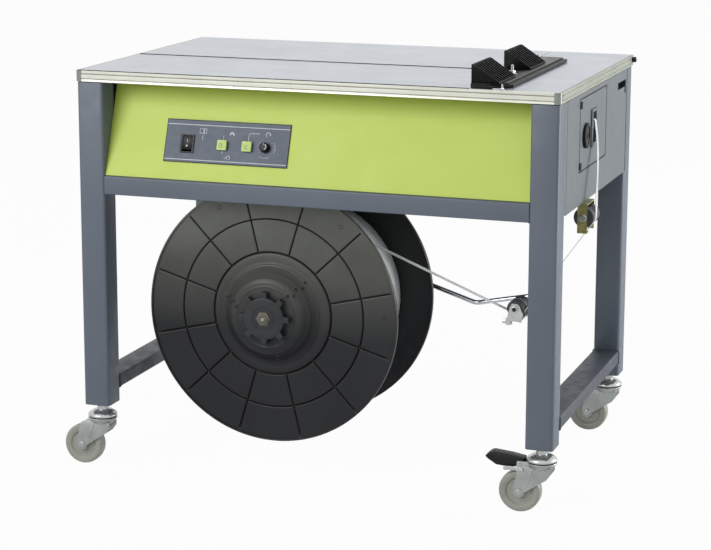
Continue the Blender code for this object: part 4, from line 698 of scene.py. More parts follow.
# --- Strapping head -------------------------------------------------------------------------------
# A black painted plate with a lower step along its right side, bolted through the table. Two moulded
# package stops stand on it, each a flat wall held by nine ribs; bright studs with nuts and washers fix
# them.
head_low, head_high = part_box("head_plate")
HEAD_CORNER = 0.026
STEP_WIDTH = 0.008
STEP_DROP = 0.0026
STOP_SHEET = 0.003
STOP_RIBS = 9

black_paint = finish("black_paint", (15, 16, 18), (21, 22, 25), 0.3, 0.42, patches=18, depth=0.00004,
                     scratches=(300, 9, 300), scratch_colour=(46, 48, 52), gloss=0.18)
stop_plastic = finish("stop_plastic", (9, 10, 12), (14, 15, 17), 0.28, 0.42, patches=30, grain=900,
                      depth=0.00003, gloss=0.14)
white_nylon = finish("white_nylon", (232, 233, 230), (224, 226, 224), 0.35, 0.5, patches=80)


def head_outline(shrink):
    """The plate's outline with its chamfered front right corner, its right side pulled in."""
    right = head_high.x - shrink
    return [(head_low.x, head_low.y), (right - HEAD_CORNER, head_low.y), (right, head_low.y + HEAD_CORNER),
            (right, head_high.y), (head_low.x, head_high.y)]


plate = [slab(head_outline(0), "z", head_low.z, head_high.z - STEP_DROP, 0.0008),
         slab(head_outline(STEP_WIDTH), "z", head_high.z - STEP_DROP - 0.001, head_high.z, 0.0006)]
for x in (head_high.x - 0.0055, head_high.x - 0.003):
    plate.append(block((x, head_low.y + 0.03, head_high.z - STEP_DROP - 0.0006),
                       (x + 0.001, head_high.y - 0.004, head_high.z - STEP_DROP + 0.0006), 0.0003))
add_piece("head_plate_stepped", plate, "frame", "black_paint", black_paint, "head_plate")

for name in ("package_stop_front", "package_stop_rear"):
    low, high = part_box(name)
    wall = block((low.x, low.y, low.z), (low.x + STOP_SHEET, high.y, high.z), 0.0013)
    floor = block((low.x, low.y, low.z), (high.x, high.y, low.z + STOP_SHEET), 0.0005)
    rib = [(low.x + 0.001, low.z + 0.001), (high.x, low.z + 0.001), (high.x, low.z + STOP_SHEET),
           (low.x + 0.006, high.z), (low.x + 0.0028, high.z), (low.x + 0.001, high.z - 0.0016)]
    starts = np.linspace(low.y, high.y - STOP_SHEET, STOP_RIBS)
    ribs = [slab(rib, "y", y, y + STOP_SHEET, 0.0007) for y in starts]
    add_piece(name + "_ribbed", [wall, floor, *ribs], "frame", "black_plastic", stop_plastic, name)

studs = []
hexagon = [(math.cos(a), math.sin(a)) for a in np.arange(6) * math.tau / 6]
for x, y, foot, top in ((0.3216, -0.1346, head_high.z, 0.016), (0.3228, 0.042, head_high.z, 0.015),
                        (0.3445, -0.2852, table_z, 0.0105)):
    spot = np.array([TABLE_MIDDLE + x, y])
    size = 1.0 if foot > table_z + 0.001 else 0.6
    washer = np.array([(0.0026, 0), (0.008, 0.0001), (0.008, 0.0013), (0.0026, 0.0014)]) * (size, 1)
    studs.append(turned(washer, "z", (*spot, foot), 28, loop=True))
    nut = spot + np.array(hexagon) * 0.0058 * size
    studs.append(slab(nut, "z", foot + 0.0013, foot + 0.0013 + 0.0045 * size, 0.0005))
    thread = np.arange(0, top - 0.0012, 0.0004)
    radius = 0.0024 * size + 0.00022 * np.cos(thread / 0.0008 * math.tau)
    profile = [*zip(radius, thread), (0.0017 * size, top - 0.0006), (0.0012 * size, top)]
    studs.append(turned(profile, "z", (*spot, foot), 18))
add_piece("head_studs", studs, "frame", "zinc", bright_zinc)
pad_x = TABLE_MIDDLE + 0.334
add_piece("head_front_pad", [block((pad_x - 0.006, head_low.y - 0.0034, table_z + 0.0001),
                                   (pad_x + 0.008, head_low.y - 0.0004, table_z + 0.0022), 0.0004)],
          "frame", "strap_plastic", white_nylon)

# --- Hatch on the right cover ---------------------------------------------------------------------
# A painted sheet door on two small barrels. The black tension knob is a deep ring round a bright collar;
# beside it the strap goes in over the bar of a moulded inlet.
knob_low, knob_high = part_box("tension_knob")
tension = (knob_low.x, *middle("tension_knob")[1:])
face = knob_high.x - knob_low.x
rim = (knob_high.y - knob_low.y) / 2
outer = [(0.004, 0.0006), (rim, 0.0006), (rim, face - 0.0014), (rim - 0.0005, face - 0.0005),
         (rim - 0.0014, face),
         (0.0165, face), (0.0152, face - 0.0009), (0.0147, face - 0.0034), (0.004, face - 0.0036)]
add_piece("tension_knob_ring", [turned(outer, "x", tension, 144, flutes=18, depth=0.0007)], "tension_dial",
          "black_plastic", stop_plastic, "tension_knob")
collar = [(0.0145, face - 0.0037), (0.0145, face - 0.0026), (0.0142, face - 0.0023),
          (0.0137, face - 0.0023), (0.0134, face - 0.0026), (0.0134, face - 0.0037)]
add_piece("tension_knob_collar", [turned(collar, "x", tension, 64, loop=True)], "tension_dial", "zinc",
          bright_zinc)
core = [(0.011, face - 0.0038), (0.011, face - 0.0022), (0.01, face - 0.0014), (0.004, face - 0.0014),
        (0.0034, face - 0.0026), (0.001, face - 0.0028)]
add_piece("tension_knob_core", [turned(core, "x", tension, 48)], "tension_dial", "black_plastic",
          stop_plastic)
give(cover_paint, "strap_inlet")

# --- Strap guide under the cover ------------------------------------------------------------------
# A pressed bracket in yellow chromate zinc, bolted under the cover's flange; its roller turns on a pin with
# a bright screw head in front and a nut behind.
yellow_zinc = finish("yellow_zinc", (178, 168, 108), (150, 150, 96), 0.24, 0.42, metallic=0.65, patches=70,
                     grain=500, depth=0.00003)
roller_rubber = finish("roller_rubber", (62, 66, 72), (52, 55, 61), 0.45, 0.62, patches=60, grain=1100,
                       depth=0.00003)
give(yellow_zinc, "guide_bracket")


def roller(node, radius, rings):
    """A turned roller with a sunken track for the strap; its ends are rippled as deep as the rings."""
    low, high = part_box(node)
    centre = middle(node)
    reach = (high.y - low.y) / 2
    place = np.linspace(-reach + 0.0008, reach - 0.0008, 97)
    track = np.clip((np.abs(place) - 0.008) / 0.0015, 0, 1)
    profile = radius - 0.0015 * (1 - track)
    profile -= rings * track * (1 + np.cos(place / 0.003 * math.tau)) / 2
    points = [(0.0045, -reach), (radius - 0.0012, -reach), *zip(profile, place), (radius - 0.0012, reach),
              (0.0045, reach)]
    return turned(points, "y", centre, 56, loop=True)


def cross_screw(centre, radius, height, towards):
    """A pan-head screw on the Y axis: a low dome, and four raised quarters with a cross between them."""
    dome = [(radius, 0), (radius, height * 0.45), (radius * 0.86, height * 0.8),
            (radius * 0.55, height * 0.86)]
    shapes = [turned([(r, towards * a) for r, a in dome], "y", centre, 32)]
    x, y, z = centre
    for sx in (-1, 1):
        for sz in (-1, 1):
            gap = radius * 0.11
            corner = radius * 0.52
            quarter = [(gap, gap), (corner, gap), (corner * 0.85, corner * 0.85), (gap, corner)]
            outline = np.array(quarter) * (sx, sz)
            ends = sorted((y + towards * height * 0.5, y + towards * height))
            shapes.append(slab(outline + (x, z), "y", *ends))
    return shapes


guide_low, guide_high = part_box("guide_roller")
guide_radius = (guide_high.z - guide_low.z) / 2
add_piece("guide_roller_turned", [roller("guide_roller", guide_radius, 0.0)], "outer_roller",
          "black_plastic", roller_rubber, "guide_roller")
bracket_low, bracket_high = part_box("guide_bracket")
pin = middle("guide_roller")
nut_y = bracket_high.y - 0.0012
outline = pin[[0, 2]] + np.array(hexagon) * 0.0062
fixings = cross_screw((pin[0], bracket_low.y + 0.0012, pin[2]), 0.0066, 0.002, -1)
fixings.append(slab(outline, "y", nut_y - 0.0022, nut_y + 0.0012, 0.0005))
add_piece("guide_fixings", fixings, "frame", "zinc", bright_zinc)

# --- Reel -----------------------------------------------------------------------------------------
# Two moulded flanges, satin black: the front one has a stepped hub, two sunken rings, twelve radial
# grooves, three rows of pin holes and a beaded rim. A lock nut with eight lugs holds it on the hub. The
# coil between them is wound in rows that lap a little unevenly.
GROOVE_START = math.radians(13.4)
HUB_OUTER = 0.096
HUB_INNER = 0.062
HUB_RISE = 0.03
INNER_RING = 0.113
OUTER_RING = 0.174
SHEET_THICK = 0.004
AXLE_HOLE = 0.0103
SPOKES = 12
SPOKE_END = 0.233
MARK_RADIUS = 0.214
COIL_BORE = 0.1004
# Each step on the hub: its radius, its height, the width of its edge, and how far its fine mesh reaches.
HUB_STEPS = ((0.0905, 0.0007, 0.0012, 0.0022), (0.079, 0.0005, 0.0011, 0.0022),
             (0.07, 0.0004, 0.001, 0.002), (0.056, 0.0008, 0.0012, 0.0022))

reel_low, reel_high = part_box("reel_flange_front")
reel_x, reel_z = middle("reel_flange_front")[[0, 2]]
reel_radius = (reel_high.x - reel_low.x) / 2
rim_depth = 0.0035
flange_y = reel_low.y + HUB_RISE
coil_low, coil_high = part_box("strap_coil")
coil_radius = (coil_high.x - coil_low.x) / 2

reel_plastic = finish("reel_plastic", (40, 41, 43), (35, 36, 38), 0.3, 0.38, patches=7, grain=850,
                      depth=0.00002, gloss=0.25)
nut_plastic = finish("lock_nut_plastic", (56, 58, 60), (50, 52, 54), 0.34, 0.44, patches=30, grain=850,
                     depth=0.00002, gloss=0.25)
# The front flange's copy of the plastic is painted lighter towards its top in soft patches, a painted
# reflection, and near black where the groove attribute marks its grooves, painted shade.
reel_plastic_painted_light = reel_plastic.copy()
reel_plastic_painted_light.name = "reel_plastic_painted_reflection"
tree = reel_plastic_painted_light.node_tree
shader = tree.nodes["Principled BSDF"]
place = add_node(tree, "TexCoord").outputs["Object"]
parts = add_node(tree, "SeparateXYZ", {"Vector": place})
cloud = add_node(tree, "TexNoise", {"Vector": place, "Scale": 11.0, "Detail": 5.0})
upper_share = spread(tree, parts.outputs["Z"], 0.27, 0.55)
broken = spread(tree, cloud.outputs["Fac"], 0.3, 0.62, 0.72)
painted_reflection = add_node(tree, "Math", {0: upper_share, 1: broken}, operation="MULTIPLY").outputs["Value"]
bare = shader.inputs["Base Color"].links[0].from_socket
with_reflection = blend(tree, painted_reflection, bare, tone(124, 126, 118))
groove_shade = add_node(tree, "Attribute", attribute_name="groove").outputs["Fac"]
feed(tree, shader, {"Base Color": blend(tree, groove_shade, with_reflection, tone(15, 15, 16))})
# A near-black finish for holes and gaps that are not cut: painted shade.
painted_hole_shadow = finish("painted_hole_shadow", (12, 12, 13), (17, 17, 18), 0.65, 0.85, patches=90)
strap_plastic = finish("strap_plastic", (240, 242, 240), (226, 229, 228), 0.28, 0.4, patches=38,
                       grain=1400, depth=0.00004)


def bell(distance, width):
    """exp(-(distance / width)²), a smooth bump that is 1 in the middle."""
    return np.exp(-(distance / width) ** 2)


def flange_grooves(radius, angle):
    """Depth of the two rings and the twelve spokes; each is a bell across its own middle line."""
    rings = 0.0028 * bell(radius - INNER_RING, 0.0016) + 0.0026 * bell(radius - OUTER_RING, 0.0013)
    pitch = math.tau / SPOKES
    off = (angle - GROOVE_START + pitch / 2) % pitch - pitch / 2
    inside = np.clip((radius - INNER_RING) / 0.002, 0, 1) * np.clip((SPOKE_END - radius) / 0.0015, 0, 1)
    return np.minimum(rings + 0.0027 * bell(off * radius, 0.0014) * inside, 0.003)


def flange_face(radius, angle):
    """How far the front flange's face stands out: hub cone, steps and low collar, less the grooves."""
    cone = np.clip((HUB_OUTER - radius) / (HUB_OUTER - HUB_INNER), 0, 1)
    cone = cone * cone * (3 - 2 * cone)
    steps = sum(rise * bell(radius - place, width) for place, rise, width, _ in HUB_STEPS)
    collar = 0.0012 * bell(radius - 0.1045, 0.006)
    return HUB_RISE * cone + steps + collar - flange_grooves(radius, angle)


sector = np.radians([-13, -10.5, -8, -5.5, -3.2, -1.8, -1.1, -0.7, -0.42, -0.2, 0, 0.2, 0.42, 0.7, 1.1, 1.8,
                     3.2, 5.5, 8, 10.5, 13])
angle = (GROOVE_START + np.arange(SPOKES)[:, None] * math.tau / SPOKES + sector).ravel()
fine = [np.linspace(c - w, c + w, 9)
        for c, w in ((INNER_RING, 0.0028), (OUTER_RING, 0.0022), *(step[::3] for step in HUB_STEPS))]
coarse = [np.linspace(*ends) for ends in ((AXLE_HOLE, 0.053, 4), (HUB_INNER, HUB_OUTER, 12),
                                          (0.0985, 0.1095, 5), (0.1175, 0.17, 7), (0.178, 0.231, 8))]
radius = np.unique(np.round(np.concatenate([*coarse, *fine, [0.2326, 0.2332]]), 5))
front = flange_y - flange_face(radius[:, None], angle)
rim = reel_radius - rim_depth
edge_radius = [rim, rim + 0.0003, rim + 0.0012, reel_radius - 0.0006, reel_radius, reel_radius,
               reel_radius - 0.0006, rim + 0.0006, rim, HUB_OUTER - 0.003, HUB_INNER - 0.003, AXLE_HOLE]
edge_out = [0.0002, rim_depth - 0.0006, rim_depth, rim_depth, rim_depth - 0.0008, -0.005, -0.0056, -0.0055,
            -SHEET_THICK, -SHEET_THICK, HUB_RISE - SHEET_THICK, HUB_RISE - SHEET_THICK]
all_radius = np.concatenate([radius, edge_radius])[:, None] + 0 * angle
all_y = np.vstack([front, flange_y - np.array(edge_out)[:, None] + 0 * angle])
around_x = reel_x + all_radius * np.cos(angle)
around_z = reel_z + all_radius * np.sin(angle)
flange_shape = loft(in_space(around_x, around_z, all_y, "y"), loop=True)
flange_piece = add_piece("reel_front_flange", [flange_shape], "reel", "reel_plastic", reel_plastic_painted_light,
                         "reel_flange_front", crease=50)
# The groove attribute marks where the grooves are painted dark as shade.
depth = np.zeros(all_radius.shape)
depth[:len(radius)] = np.clip(flange_grooves(radius[:, None], angle) / 0.002, 0, 1) ** 1.5
groove_shade_mask = flange_piece.data.attributes.new("groove", "FLOAT", "POINT")
groove_shade_mask.data.foreach_set("value", depth.ravel().astype(np.float32))

pins, marks = [], []
for row in (42, 162, 282):
    for r, size, off in ((0.059, 0.0031, 3), (0.0665, 0.0031, -3), (0.0738, 0.0029, 3),
                         (0.0815, 0.0027, -2), (0.0895, 0.0025, 2)):
        turn = math.radians(row + off)
        y = flange_y - flange_face(np.array(r), turn) - 0.0007
        spot = (reel_x + r * math.cos(turn), y, reel_z + r * math.sin(turn))
        pins.append(turned([(size, 0.004), (size, 0), (size * 0.6, 0)], "y", spot, 14))
mould_mark = [(0.004, 0.0008), (0.0043, -0.0003), (0.0036, -0.0005), (0.0033, 0.0001), (0.001, 0.0001)]
for turn in np.radians((3, 52, 118, 236, 300)):
    spot = (reel_x + MARK_RADIUS * math.cos(turn), flange_y, reel_z + MARK_RADIUS * math.sin(turn))
    marks.append(turned(mould_mark, "y", spot, 20))
# Black plugs stand for the pin holes: painted shade in the holes.
add_piece("reel_pin_hole_shadows", pins, "reel", "reel_plastic", painted_hole_shadow)
add_piece("reel_mould_marks", marks, "reel", "reel_plastic", reel_plastic)

edge_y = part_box("reel_flange_rear")[1].y
back_y = edge_y - rim_depth
inner_y = back_y - SHEET_THICK
back_profile = [(AXLE_HOLE, inner_y), (0.095, inner_y), (0.095, flange_y + 0.0043),
                (0.1, flange_y + 0.0043), (0.1, inner_y), (rim, inner_y), (rim + 0.0004, edge_y - 0.009),
                (reel_radius - 0.0006, edge_y - 0.009), (reel_radius, edge_y - 0.0082),
                (reel_radius, edge_y - 0.0008), (reel_radius - 0.0006, edge_y), (rim + 0.001, edge_y),
                (rim, edge_y - 0.0008), (rim, back_y), (0.176, back_y), (0.1748, back_y - 0.0014),
                (0.1732, back_y - 0.0014), (0.172, back_y), (0.114, back_y), (0.113, back_y + 0.002),
                (0.101, back_y + 0.0022), (0.1, back_y), (AXLE_HOLE, back_y)]
add_piece("reel_rear_flange", [turned(back_profile, "y", (reel_x, 0, reel_z), 144, loop=True)], "reel",
          "reel_plastic", reel_plastic, "reel_flange_rear", crease=50)

ROW = 0.0122
columns = 160
turn = np.arange(columns) / columns * math.tau
rows_along = np.linspace(coil_low.y + 0.0002, coil_high.y - 0.0002, 171)[:, None]
rows = (rows_along - coil_low.y) / ROW + turn / math.tau
row_number = np.floor(rows)
lift = 0.5 + 0.5 * np.sin(row_number * 2.4 + 1.3 * np.sin(turn * 2 + row_number))
winding = coil_radius - 0.0002 - 0.0011 * (1 - lift) - 0.0006 * (np.abs(rows % 1.0 - 0.5) > 0.46)
winding[0] = winding[-1] = coil_radius - 0.002
shell_radius = np.vstack([winding, np.full((2, columns), COIL_BORE)])
shell_y = np.vstack([rows_along + 0 * turn, np.array([coil_high.y, coil_low.y])[:, None] + 0 * turn])
shell = in_space(reel_x + shell_radius * np.cos(turn), reel_z + shell_radius * np.sin(turn), shell_y, "y")
add_piece("strap_coil_wound", [loft(shell, loop=True)], "reel", "strap_plastic", strap_plastic,
          "strap_coil", crease=20)

nut_low, nut_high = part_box("reel_lock_nut")
nut_profile = [(AXLE_HOLE, nut_high.y), (0.038, nut_high.y), (0.038, nut_low.y + 0.0014),
               (0.037, nut_low.y + 0.0004), (0.0355, nut_low.y), (0.0215, nut_low.y),
               (0.0207, nut_low.y + 0.0008), (0.0195, nut_low.y + 0.0008), (0.0187, nut_low.y),
               (AXLE_HOLE, nut_low.y)]
lugs = [turned(nut_profile, "y", (reel_x, 0, reel_z), 96, loop=True)]
for turn in np.arange(8) / 8 * math.tau:
    along = np.array([math.cos(turn), math.sin(turn)])
    across = np.array([-along[1], along[0]])
    corners = ((0.035, -0.0062), (0.0478, -0.005), (0.0478, 0.005), (0.035, 0.0062))
    lug = [along * r + across * w for r, w in corners]
    lugs.append(slab(np.array(lug) + (reel_x, reel_z), "y", nut_low.y + 0.001, nut_high.y - 0.0008, 0.001))
add_piece("reel_lock_nut_lugged", lugs, "reel", "reel_plastic", nut_plastic, "reel_lock_nut")

steel = finish("bare_steel", (170, 173, 176), (150, 153, 157), 0.24, 0.38, metallic=0.9, patches=30,
               grain=400, depth=0.00002)
cast_grey = finish("cast_grey", (112, 117, 120), (96, 101, 105), 0.5, 0.68, metallic=0.3, patches=30,
                   grain=260, depth=0.00012)
give(steel, "reel_axle")
axle_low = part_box("reel_axle")[0]
ends = [turned([(0.0087, 0.004), (0.0087, 0.0004), (0.008, -0.0002), (0.0032, -0.0002), (0.0026, 0.0004),
                (0.001, 0.0004)], "y", (reel_x, axle_low.y, reel_z), 36)]
outline = np.array(hexagon) * 0.014 + (reel_x, reel_z)
ends.append(slab(outline, "y", axle_low.y + 0.003, nut_low.y + 0.0002, 0.0008))
oily_steel = finish("oily_steel", (118, 113, 102), (92, 88, 80), 0.42, 0.56, metallic=0.4, patches=60,
                    depth=0.00003, gloss=0.3)
add_piece("reel_axle_end", ends, "frame", "steel", oily_steel)
give(frame_paint, "reel_hanger")

# --- Slack arm ------------------------------------------------------------------------------------
# A bright bent rod on the hanger's pin. A pressed zinc bracket clamped near its end carries a ribbed rubber
# roller, under which the strap runs.
ARM_BEND = (0.214, 0.2935)
ARM_END = (0.366, 0.3245)
ARM_BEND_RADIUS = 0.03
ROD_RADIUS = 0.0045

arm_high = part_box("swing_arm")[1]
arm_y = middle("swing_arm")[1]
pivot_z = arm_high.z - 0.011
pivot_x = reel_x


def tube(path, radius, side, steps=20):
    """A round rod along a flat path: radius · (cos · side + sin · (heading × side)) round each point."""
    path = np.asarray(path, float)
    heading = np.gradient(path, axis=0)
    heading /= np.linalg.norm(heading, axis=1, keepdims=True)
    other = np.cross(heading, side)
    angle = (np.arange(steps) / steps * math.tau)[:, None]
    rings = path[:, None] + radius * (np.cos(angle) * np.array(side) + np.sin(angle) * other[:, None])
    return loft(rings)


fall = math.atan2(pivot_z - ARM_BEND[1], ARM_BEND[0] + TABLE_MIDDLE - pivot_x)
climb = math.atan2(ARM_END[1] - ARM_BEND[1], ARM_END[0] - ARM_BEND[0])
back = ARM_BEND_RADIUS * math.tan((fall + climb) / 2)
bend_x = ARM_BEND[0] + TABLE_MIDDLE - back * math.cos(fall) + ARM_BEND_RADIUS * math.sin(fall)
bend_z = ARM_BEND[1] + back * math.sin(fall) + ARM_BEND_RADIUS * math.cos(fall)
turn = np.linspace(-math.pi / 2 - fall, -math.pi / 2 + climb, 17)
x = np.concatenate([[pivot_x + 0.009], bend_x + ARM_BEND_RADIUS * np.cos(turn),
                    [ARM_END[0] + TABLE_MIDDLE]])
z = np.concatenate([[pivot_z - 0.0029], bend_z + ARM_BEND_RADIUS * np.sin(turn), [ARM_END[1]]])
chrome = finish("bright_chrome", (205, 208, 212), (190, 193, 198), 0.08, 0.16, metallic=1.0, patches=20,
                depth=0.000004)
rod = tube(np.stack([x, np.full_like(x, arm_y), z], 1), ROD_RADIUS, (0, 1, 0))
eye = [(0.0053, -0.008), (0.0102, -0.008), (0.011, -0.0072), (0.011, 0.0072), (0.0102, 0.008),
       (0.0053, 0.008)]
add_piece("slack_arm_rod", [rod, turned(eye, "y", (pivot_x, arm_y, pivot_z), 40, loop=True)], "slack_arm",
          "steel", chrome, "swing_arm")
give(bright_zinc, "roller_bracket")
swing_low, swing_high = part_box("swing_roller")
swing_radius = (swing_high.z - swing_low.z) / 2
add_piece("slack_arm_roller", [roller("swing_roller", swing_radius, 0.0012)], "arm_roller", "black_plastic",
          roller_rubber, "swing_roller")
axle = middle("swing_roller")
washer = (axle[0], swing_low.y - 0.0042, axle[2])
rings = [[(0.004, 0.001), (0.0078, 0.001), (0.0078, 0.0), (0.004, 0.0)],
         [(0.004, 0.0), (0.0056, 0.0), (0.0056, -0.0026), (0.0044, -0.003), (0.004, -0.003)]]
add_piece("slack_arm_pin_rings", [turned(ring, "y", washer, 28, loop=True) for ring in rings], "slack_arm",
          "zinc", bright_zinc)
# A black disc fills the washer's bore: painted shade in the pin's hole.
pin_end = [(0.0042, 0.0), (0.0042, -0.0027), (0.001, -0.0027)]
add_piece("slack_arm_pin_hole_shadow", [turned(pin_end, "y", washer, 24)], "slack_arm", "zinc", painted_hole_shadow)

# --- Strap ----------------------------------------------------------------------------------------
# One 12 mm polypropylene strap, off-white, pressed with a fine waffle and rubbed along its length.
give(strap_plastic, "strap")

# --- Casters --------------------------------------------------------------------------------------
# Stock 75 mm swivel casters: pressed fork and domed ball race in bright zinc, a grey-beige nylon wheel on a
# riveted axle, a threaded stem with its nut in the leg. The front right one has a black brake pedal.
WHEEL_RADIUS = 0.0375
TRAIL = 0.037
RACE_RADIUS = 0.027
FORK_SHEET = 0.0025
CHEEK_INSIDE = 0.014
EYE_RADIUS = 0.0098

wheel_nylon = finish("wheel_nylon", (166, 166, 156), (154, 155, 144), 0.28, 0.42, patches=26, grain=700,
                     depth=0.00004)


def caster_wheel(x, y):
    """Tread with rounded shoulders, a sunken web and a hub, turned about the axle."""
    half = 0.012
    side = [(0.0044, 0.0137), (0.01, 0.0137), (0.011, 0.0128), (0.0118, 0.009), (0.0132, 0.0078),
            (0.0222, 0.0074),
            (0.0238, 0.0084), (0.025, 0.0102), (0.0268, 0.0108), (0.03, half - 0.0003), (0.0335, half),
            (0.0352, half - 0.0006), (0.0366, half - 0.0022), (0.0373, half - 0.0048),
            (WHEEL_RADIUS, 0.004)]
    profile = [(r, -a) for r, a in side] + [(r, a) for r, a in side[::-1]]
    return turned(profile, "y", (x, y, WHEEL_RADIUS), 64, loop=True)


def caster_fork(x, y, toward, crown):
    """Two pressed cheeks that hang from a crown under the lower race, and the axle with its rivet heads."""
    axle_x = x + toward * TRAIL
    outside = CHEEK_INSIDE + FORK_SHEET

    def placed(points, height):
        """Points (distance ahead of the stem, height) put in their place."""
        return np.array(points) * (toward, 1) + (x, height)

    turn = np.linspace(0, math.pi, 9)
    eye = placed(np.stack([TRAIL + EYE_RADIUS * np.cos(turn), -EYE_RADIUS * np.sin(turn)], 1), WHEEL_RADIUS)
    cheek = np.vstack([placed([(-0.02, 0.0012), (0.032, 0.0012), (0.0375, -0.002), (0.04, -0.0075)], crown),
                       placed([(TRAIL + EYE_RADIUS, 0.008)], WHEEL_RADIUS), eye,
                       placed([(-0.012, -0.02), (-0.02, -0.009)], crown)])
    rib = np.vstack([placed([(0.01, -0.0015), (0.0175, -0.0015)], crown),
                     placed([(0.0245, 0.015), (0.0205, 0.013)], WHEEL_RADIUS)])
    shapes = [slab(cheek, "y", low, low + FORK_SHEET, 0.0007) for low in (y - outside, y + CHEEK_INSIDE)]
    shapes += [slab(rib, "y", low, low + 0.0016, 0.0007)
               for low in (y - outside - 0.0008, y + outside - 0.0008)]
    ends = sorted((x - toward * 0.0196, x + toward * 0.0322))
    shapes.append(block((ends[0], y - outside + 0.0008, crown - 0.002),
                        (ends[1], y + outside - 0.0008, crown + 0.001), 0.0006))
    race = [(0.006, -0.001), (RACE_RADIUS - 0.006, -0.001), (RACE_RADIUS - 0.0038, 0.0014),
            (RACE_RADIUS - 0.0022, 0.005), (RACE_RADIUS - 0.0006, 0.007), (RACE_RADIUS, 0.0082),
            (RACE_RADIUS - 0.0008, 0.0092), (RACE_RADIUS - 0.0044, 0.0094), (RACE_RADIUS - 0.0044, 0.0114),
            (0.006, 0.0114)]
    shapes.append(turned(race, "z", (x, y, crown), 48, loop=True))
    for towards in (-1, 1):
        rivet = [(0.007, 0), (0.007, 0.0012), (0.0062, 0.0024), (0.0046, 0.003), (0.002, 0.0031)]
        centre = (axle_x, y + towards * (outside - 0.0001), WHEEL_RADIUS)
        shapes.append(turned([(r, towards * a) for r, a in rivet], "y", centre, 28))
    shapes.append(turned([(0.004, -outside), (0.004, outside)], "y", (axle_x, y, WHEEL_RADIUS), 20))
    return shapes


for place in ("front_left", "front_right", "rear_left", "rear_right"):
    stem_low, stem_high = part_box("caster_stem_" + place)
    x, y = middle("caster_stem_" + place)[:2]
    leg_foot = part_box("leg_" + place)[0].z
    toward = 1 if middle("caster_wheel_" + place)[0] > x else -1
    crown = stem_low.z - 0.0118
    split = stem_low.z
    dome = [(0.006, 0.0), (RACE_RADIUS - 0.0004, 0.0), (RACE_RADIUS, 0.0008), (RACE_RADIUS, 0.003),
            (RACE_RADIUS - 0.001, 0.0046), (RACE_RADIUS - 0.0036, 0.0068), (0.02, 0.0092),
            (0.0175, 0.0102), (0.016, 0.0104), (0.015, 0.011), (0.0128, 0.0112), (0.01, 0.0118)]
    collar = [(0.01, -0.005), (0.0118, -0.0046), (0.0126, -0.0038), (0.0126, -0.001), (0.0118, -0.0005),
              (0.005, -0.0004)]
    stem = [(0.005, stem_high.z - 0.0005), (0.0044, stem_high.z)]
    race = np.vstack([np.array(dome) + (0, split), np.array(collar) + (0, leg_foot), stem])
    add_piece("caster_race_" + place, [turned(race, "z", (x, y, 0), 48)], "frame", "zinc", bright_zinc,
              "caster_stem_" + place)
    # A black ring in the gap between the dome and the fork's race: painted shadow.
    near, far = RACE_RADIUS - 0.005, RACE_RADIUS - 0.0026
    gap = [(near, -0.0022), (far, -0.0022), (far, -0.0002), (near, -0.0002)]
    add_piece("caster_race_gap_shadow_" + place, [turned(gap, "z", (x, y, split), 48, loop=True)],
              "swivel_" + place, "zinc", painted_hole_shadow)
    shapes = caster_fork(x, y, toward, crown)
    if place == "front_right":
        for ends in ((y - 0.016, y - 0.0133), (y + 0.0133, y + 0.016)):
            ear = rounded_rectangle((x - 0.041, crown - 0.018), (x - 0.018, crown + 0.0104), 0.003)
            shapes.append(slab(ear, "y", *ends, 0.0006))
        shapes.append(turned([(0.003, -0.0178), (0.003, 0.0178)], "y", (x - 0.035, y, crown + 0.006), 20))
    add_piece("caster_yoke_" + place, shapes, "swivel_" + place, "zinc", zinc, "caster_fork_" + place)
    add_piece("caster_tyre_" + place, [caster_wheel(x + toward * TRAIL, y)], "wheel_" + place,
              "wheel_plastic", wheel_nylon, "caster_wheel_" + place)
    if place == "front_right":
        bar = rounded_rectangle((x - 0.064, crown - 0.0062), (x - 0.0285, crown + 0.0006), 0.003)
        link = [slab(bar, "y", y - 0.0186, y - 0.017, 0.0004)]
        head = [(0.004, 0.0), (0.004, -0.0014), (0.003, -0.0024), (0.0012, -0.0026)]
        link += [turned(head, "y", (x - reach, y - 0.0185, crown - 0.0028), 20) for reach in (0.06, 0.0325)]
        add_piece("brake_link", link, "swivel_" + place, "zinc", bright_zinc)
        pin_x, pin_z = x - 0.035, crown + 0.006
        outline = [(0.006, -0.0034), (0.005, 0.0082), (-0.018, 0.0122), (-0.05, 0.0152), (-0.056, 0.0142),
                   (-0.0632, 0.008), (-0.0626, 0.0058), (-0.059, 0.0026), (-0.044, -0.0066),
                   (-0.02, -0.0086)]
        pedal = [slab(np.array(outline) + (pin_x, pin_z), "y", y - 0.013, y + 0.013, 0.0012)]
        for along in np.linspace(-0.02, -0.05, 6):
            rise = pin_z + 0.0122 + (along + 0.018) / -0.032 * 0.003
            pedal.append(block((pin_x + along - 0.0008, y - 0.01, rise - 0.001),
                               (pin_x + along + 0.0008, y + 0.01, rise + 0.0007), 0.0003))
        add_piece("brake_pedal_ribbed", pedal, "brake", "black_plastic", black_plastic, "brake_pedal")

# --- Mechanism in the cabinet ---------------------------------------------------------------------
# Bare steel frame and shafts, a cast geared motor and a painted electrics box.
give(steel, "mechanism_frame", "cam_shaft", "press_head", "slide_plate", "feed_roller")
give(cast_grey, "drive_motor", "control_box")

# --- Floor, light and background ------------------------------------------------------------------
# A pale floor that keeps a soft shadow, a broad lamp behind on the right for the end covers, a high one at
# the left front for the panel, and an even white surround.
FLOOR_REACH = 60
FLOOR_Z = -0.0004
LAMPS = (("lamp_right", (3.4, 1.7, 1.0), 98.0), ("lamp_front", (-1.7, -3.4, 2.3), 76.0))
LAMP_SIZE = 2.2
LAMP_AIM = (0.0, 0.0, 0.4)

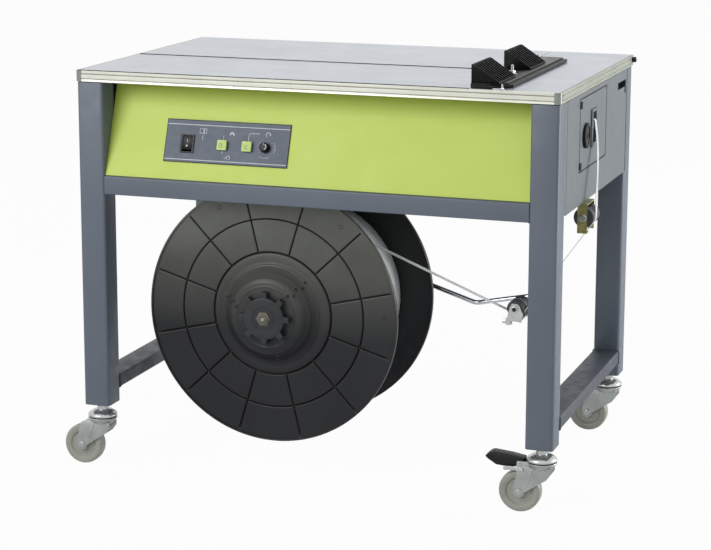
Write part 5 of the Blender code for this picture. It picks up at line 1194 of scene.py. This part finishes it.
floor_mesh = bpy.data.meshes.new("floor")
floor_corners = [(FLOOR_REACH * x, FLOOR_REACH * y, FLOOR_Z) for x, y in ((-1, -1), (1, -1), (1, 1), (-1, 1))]
floor_mesh.from_pydata(floor_corners, [], [(0, 1, 2, 3)])
floor = bpy.data.objects.new("floor", floor_mesh)
bpy.context.scene.collection.objects.link(floor)


def seen_share(tree, camera_part, glossy_part):
    """The share of white: a part for what the camera sees, and a part for reflections and through glass."""
    rays = add_node(tree, "LightPath").outputs
    share = 0.0
    for ray, part in (("Is Camera Ray", camera_part), ("Is Glossy Ray", glossy_part),
                      ("Is Transmission Ray", glossy_part)):
        scaled = add_node(tree, "Math", {0: rays[ray], 1: part}, operation="MULTIPLY").outputs["Value"]
        share = add_node(tree, "Math", {0: share, 1: scaled}, operation="MAXIMUM").outputs["Value"]
    return share


def whiten(tree, share, surface, white, output):
    """Mixes a surface with white by the white's share, and sends it to the output node."""
    mixed = add_node(tree, "MixShader", {"Fac": share, 1: surface, 2: white})
    feed(tree, tree.nodes[output], {"Surface": mixed.outputs["Shader"]})


pale = bpy.data.materials.new("pale_floor")
pale.use_nodes = True
tree = pale.node_tree
matte = feed(tree, tree.nodes["Principled BSDF"], {"Base Color": (0.9, 0.9, 0.9, 1.0), "Roughness": 0.9})
glow = add_node(tree, "Emission")
whiten(tree, seen_share(tree, 0.96, 0.4), matte.outputs["BSDF"], glow.outputs["Emission"],
       "Material Output")
floor_mesh.materials.append(pale)

world = bpy.data.worlds.new("studio")
bpy.context.scene.world = world
world.use_nodes = True
tree = world.node_tree
surround = feed(tree, tree.nodes["Background"], {"Color": (0.95, 0.97, 1.0, 1.0), "Strength": 0.32})
white = add_node(tree, "Background", {"Color": (1.0, 1.0, 1.0, 1.0)})
whiten(tree, seen_share(tree, 1.0, 1.0), surround.outputs["Background"], white.outputs["Background"],
       "World Output")

for name, place, power in LAMPS:
    lamp_data = bpy.data.lights.new(name, "AREA")
    lamp_data.size = LAMP_SIZE
    lamp_data.energy = power
    lamp = bpy.data.objects.new(name, lamp_data)
    lamp.location = place
    aim = np.array(LAMP_AIM) - place
    lamp.rotation_euler = (math.atan2(math.hypot(aim[0], aim[1]), -aim[2]), 0, math.atan2(-aim[0], aim[1]))
    bpy.context.scene.collection.objects.link(lamp)
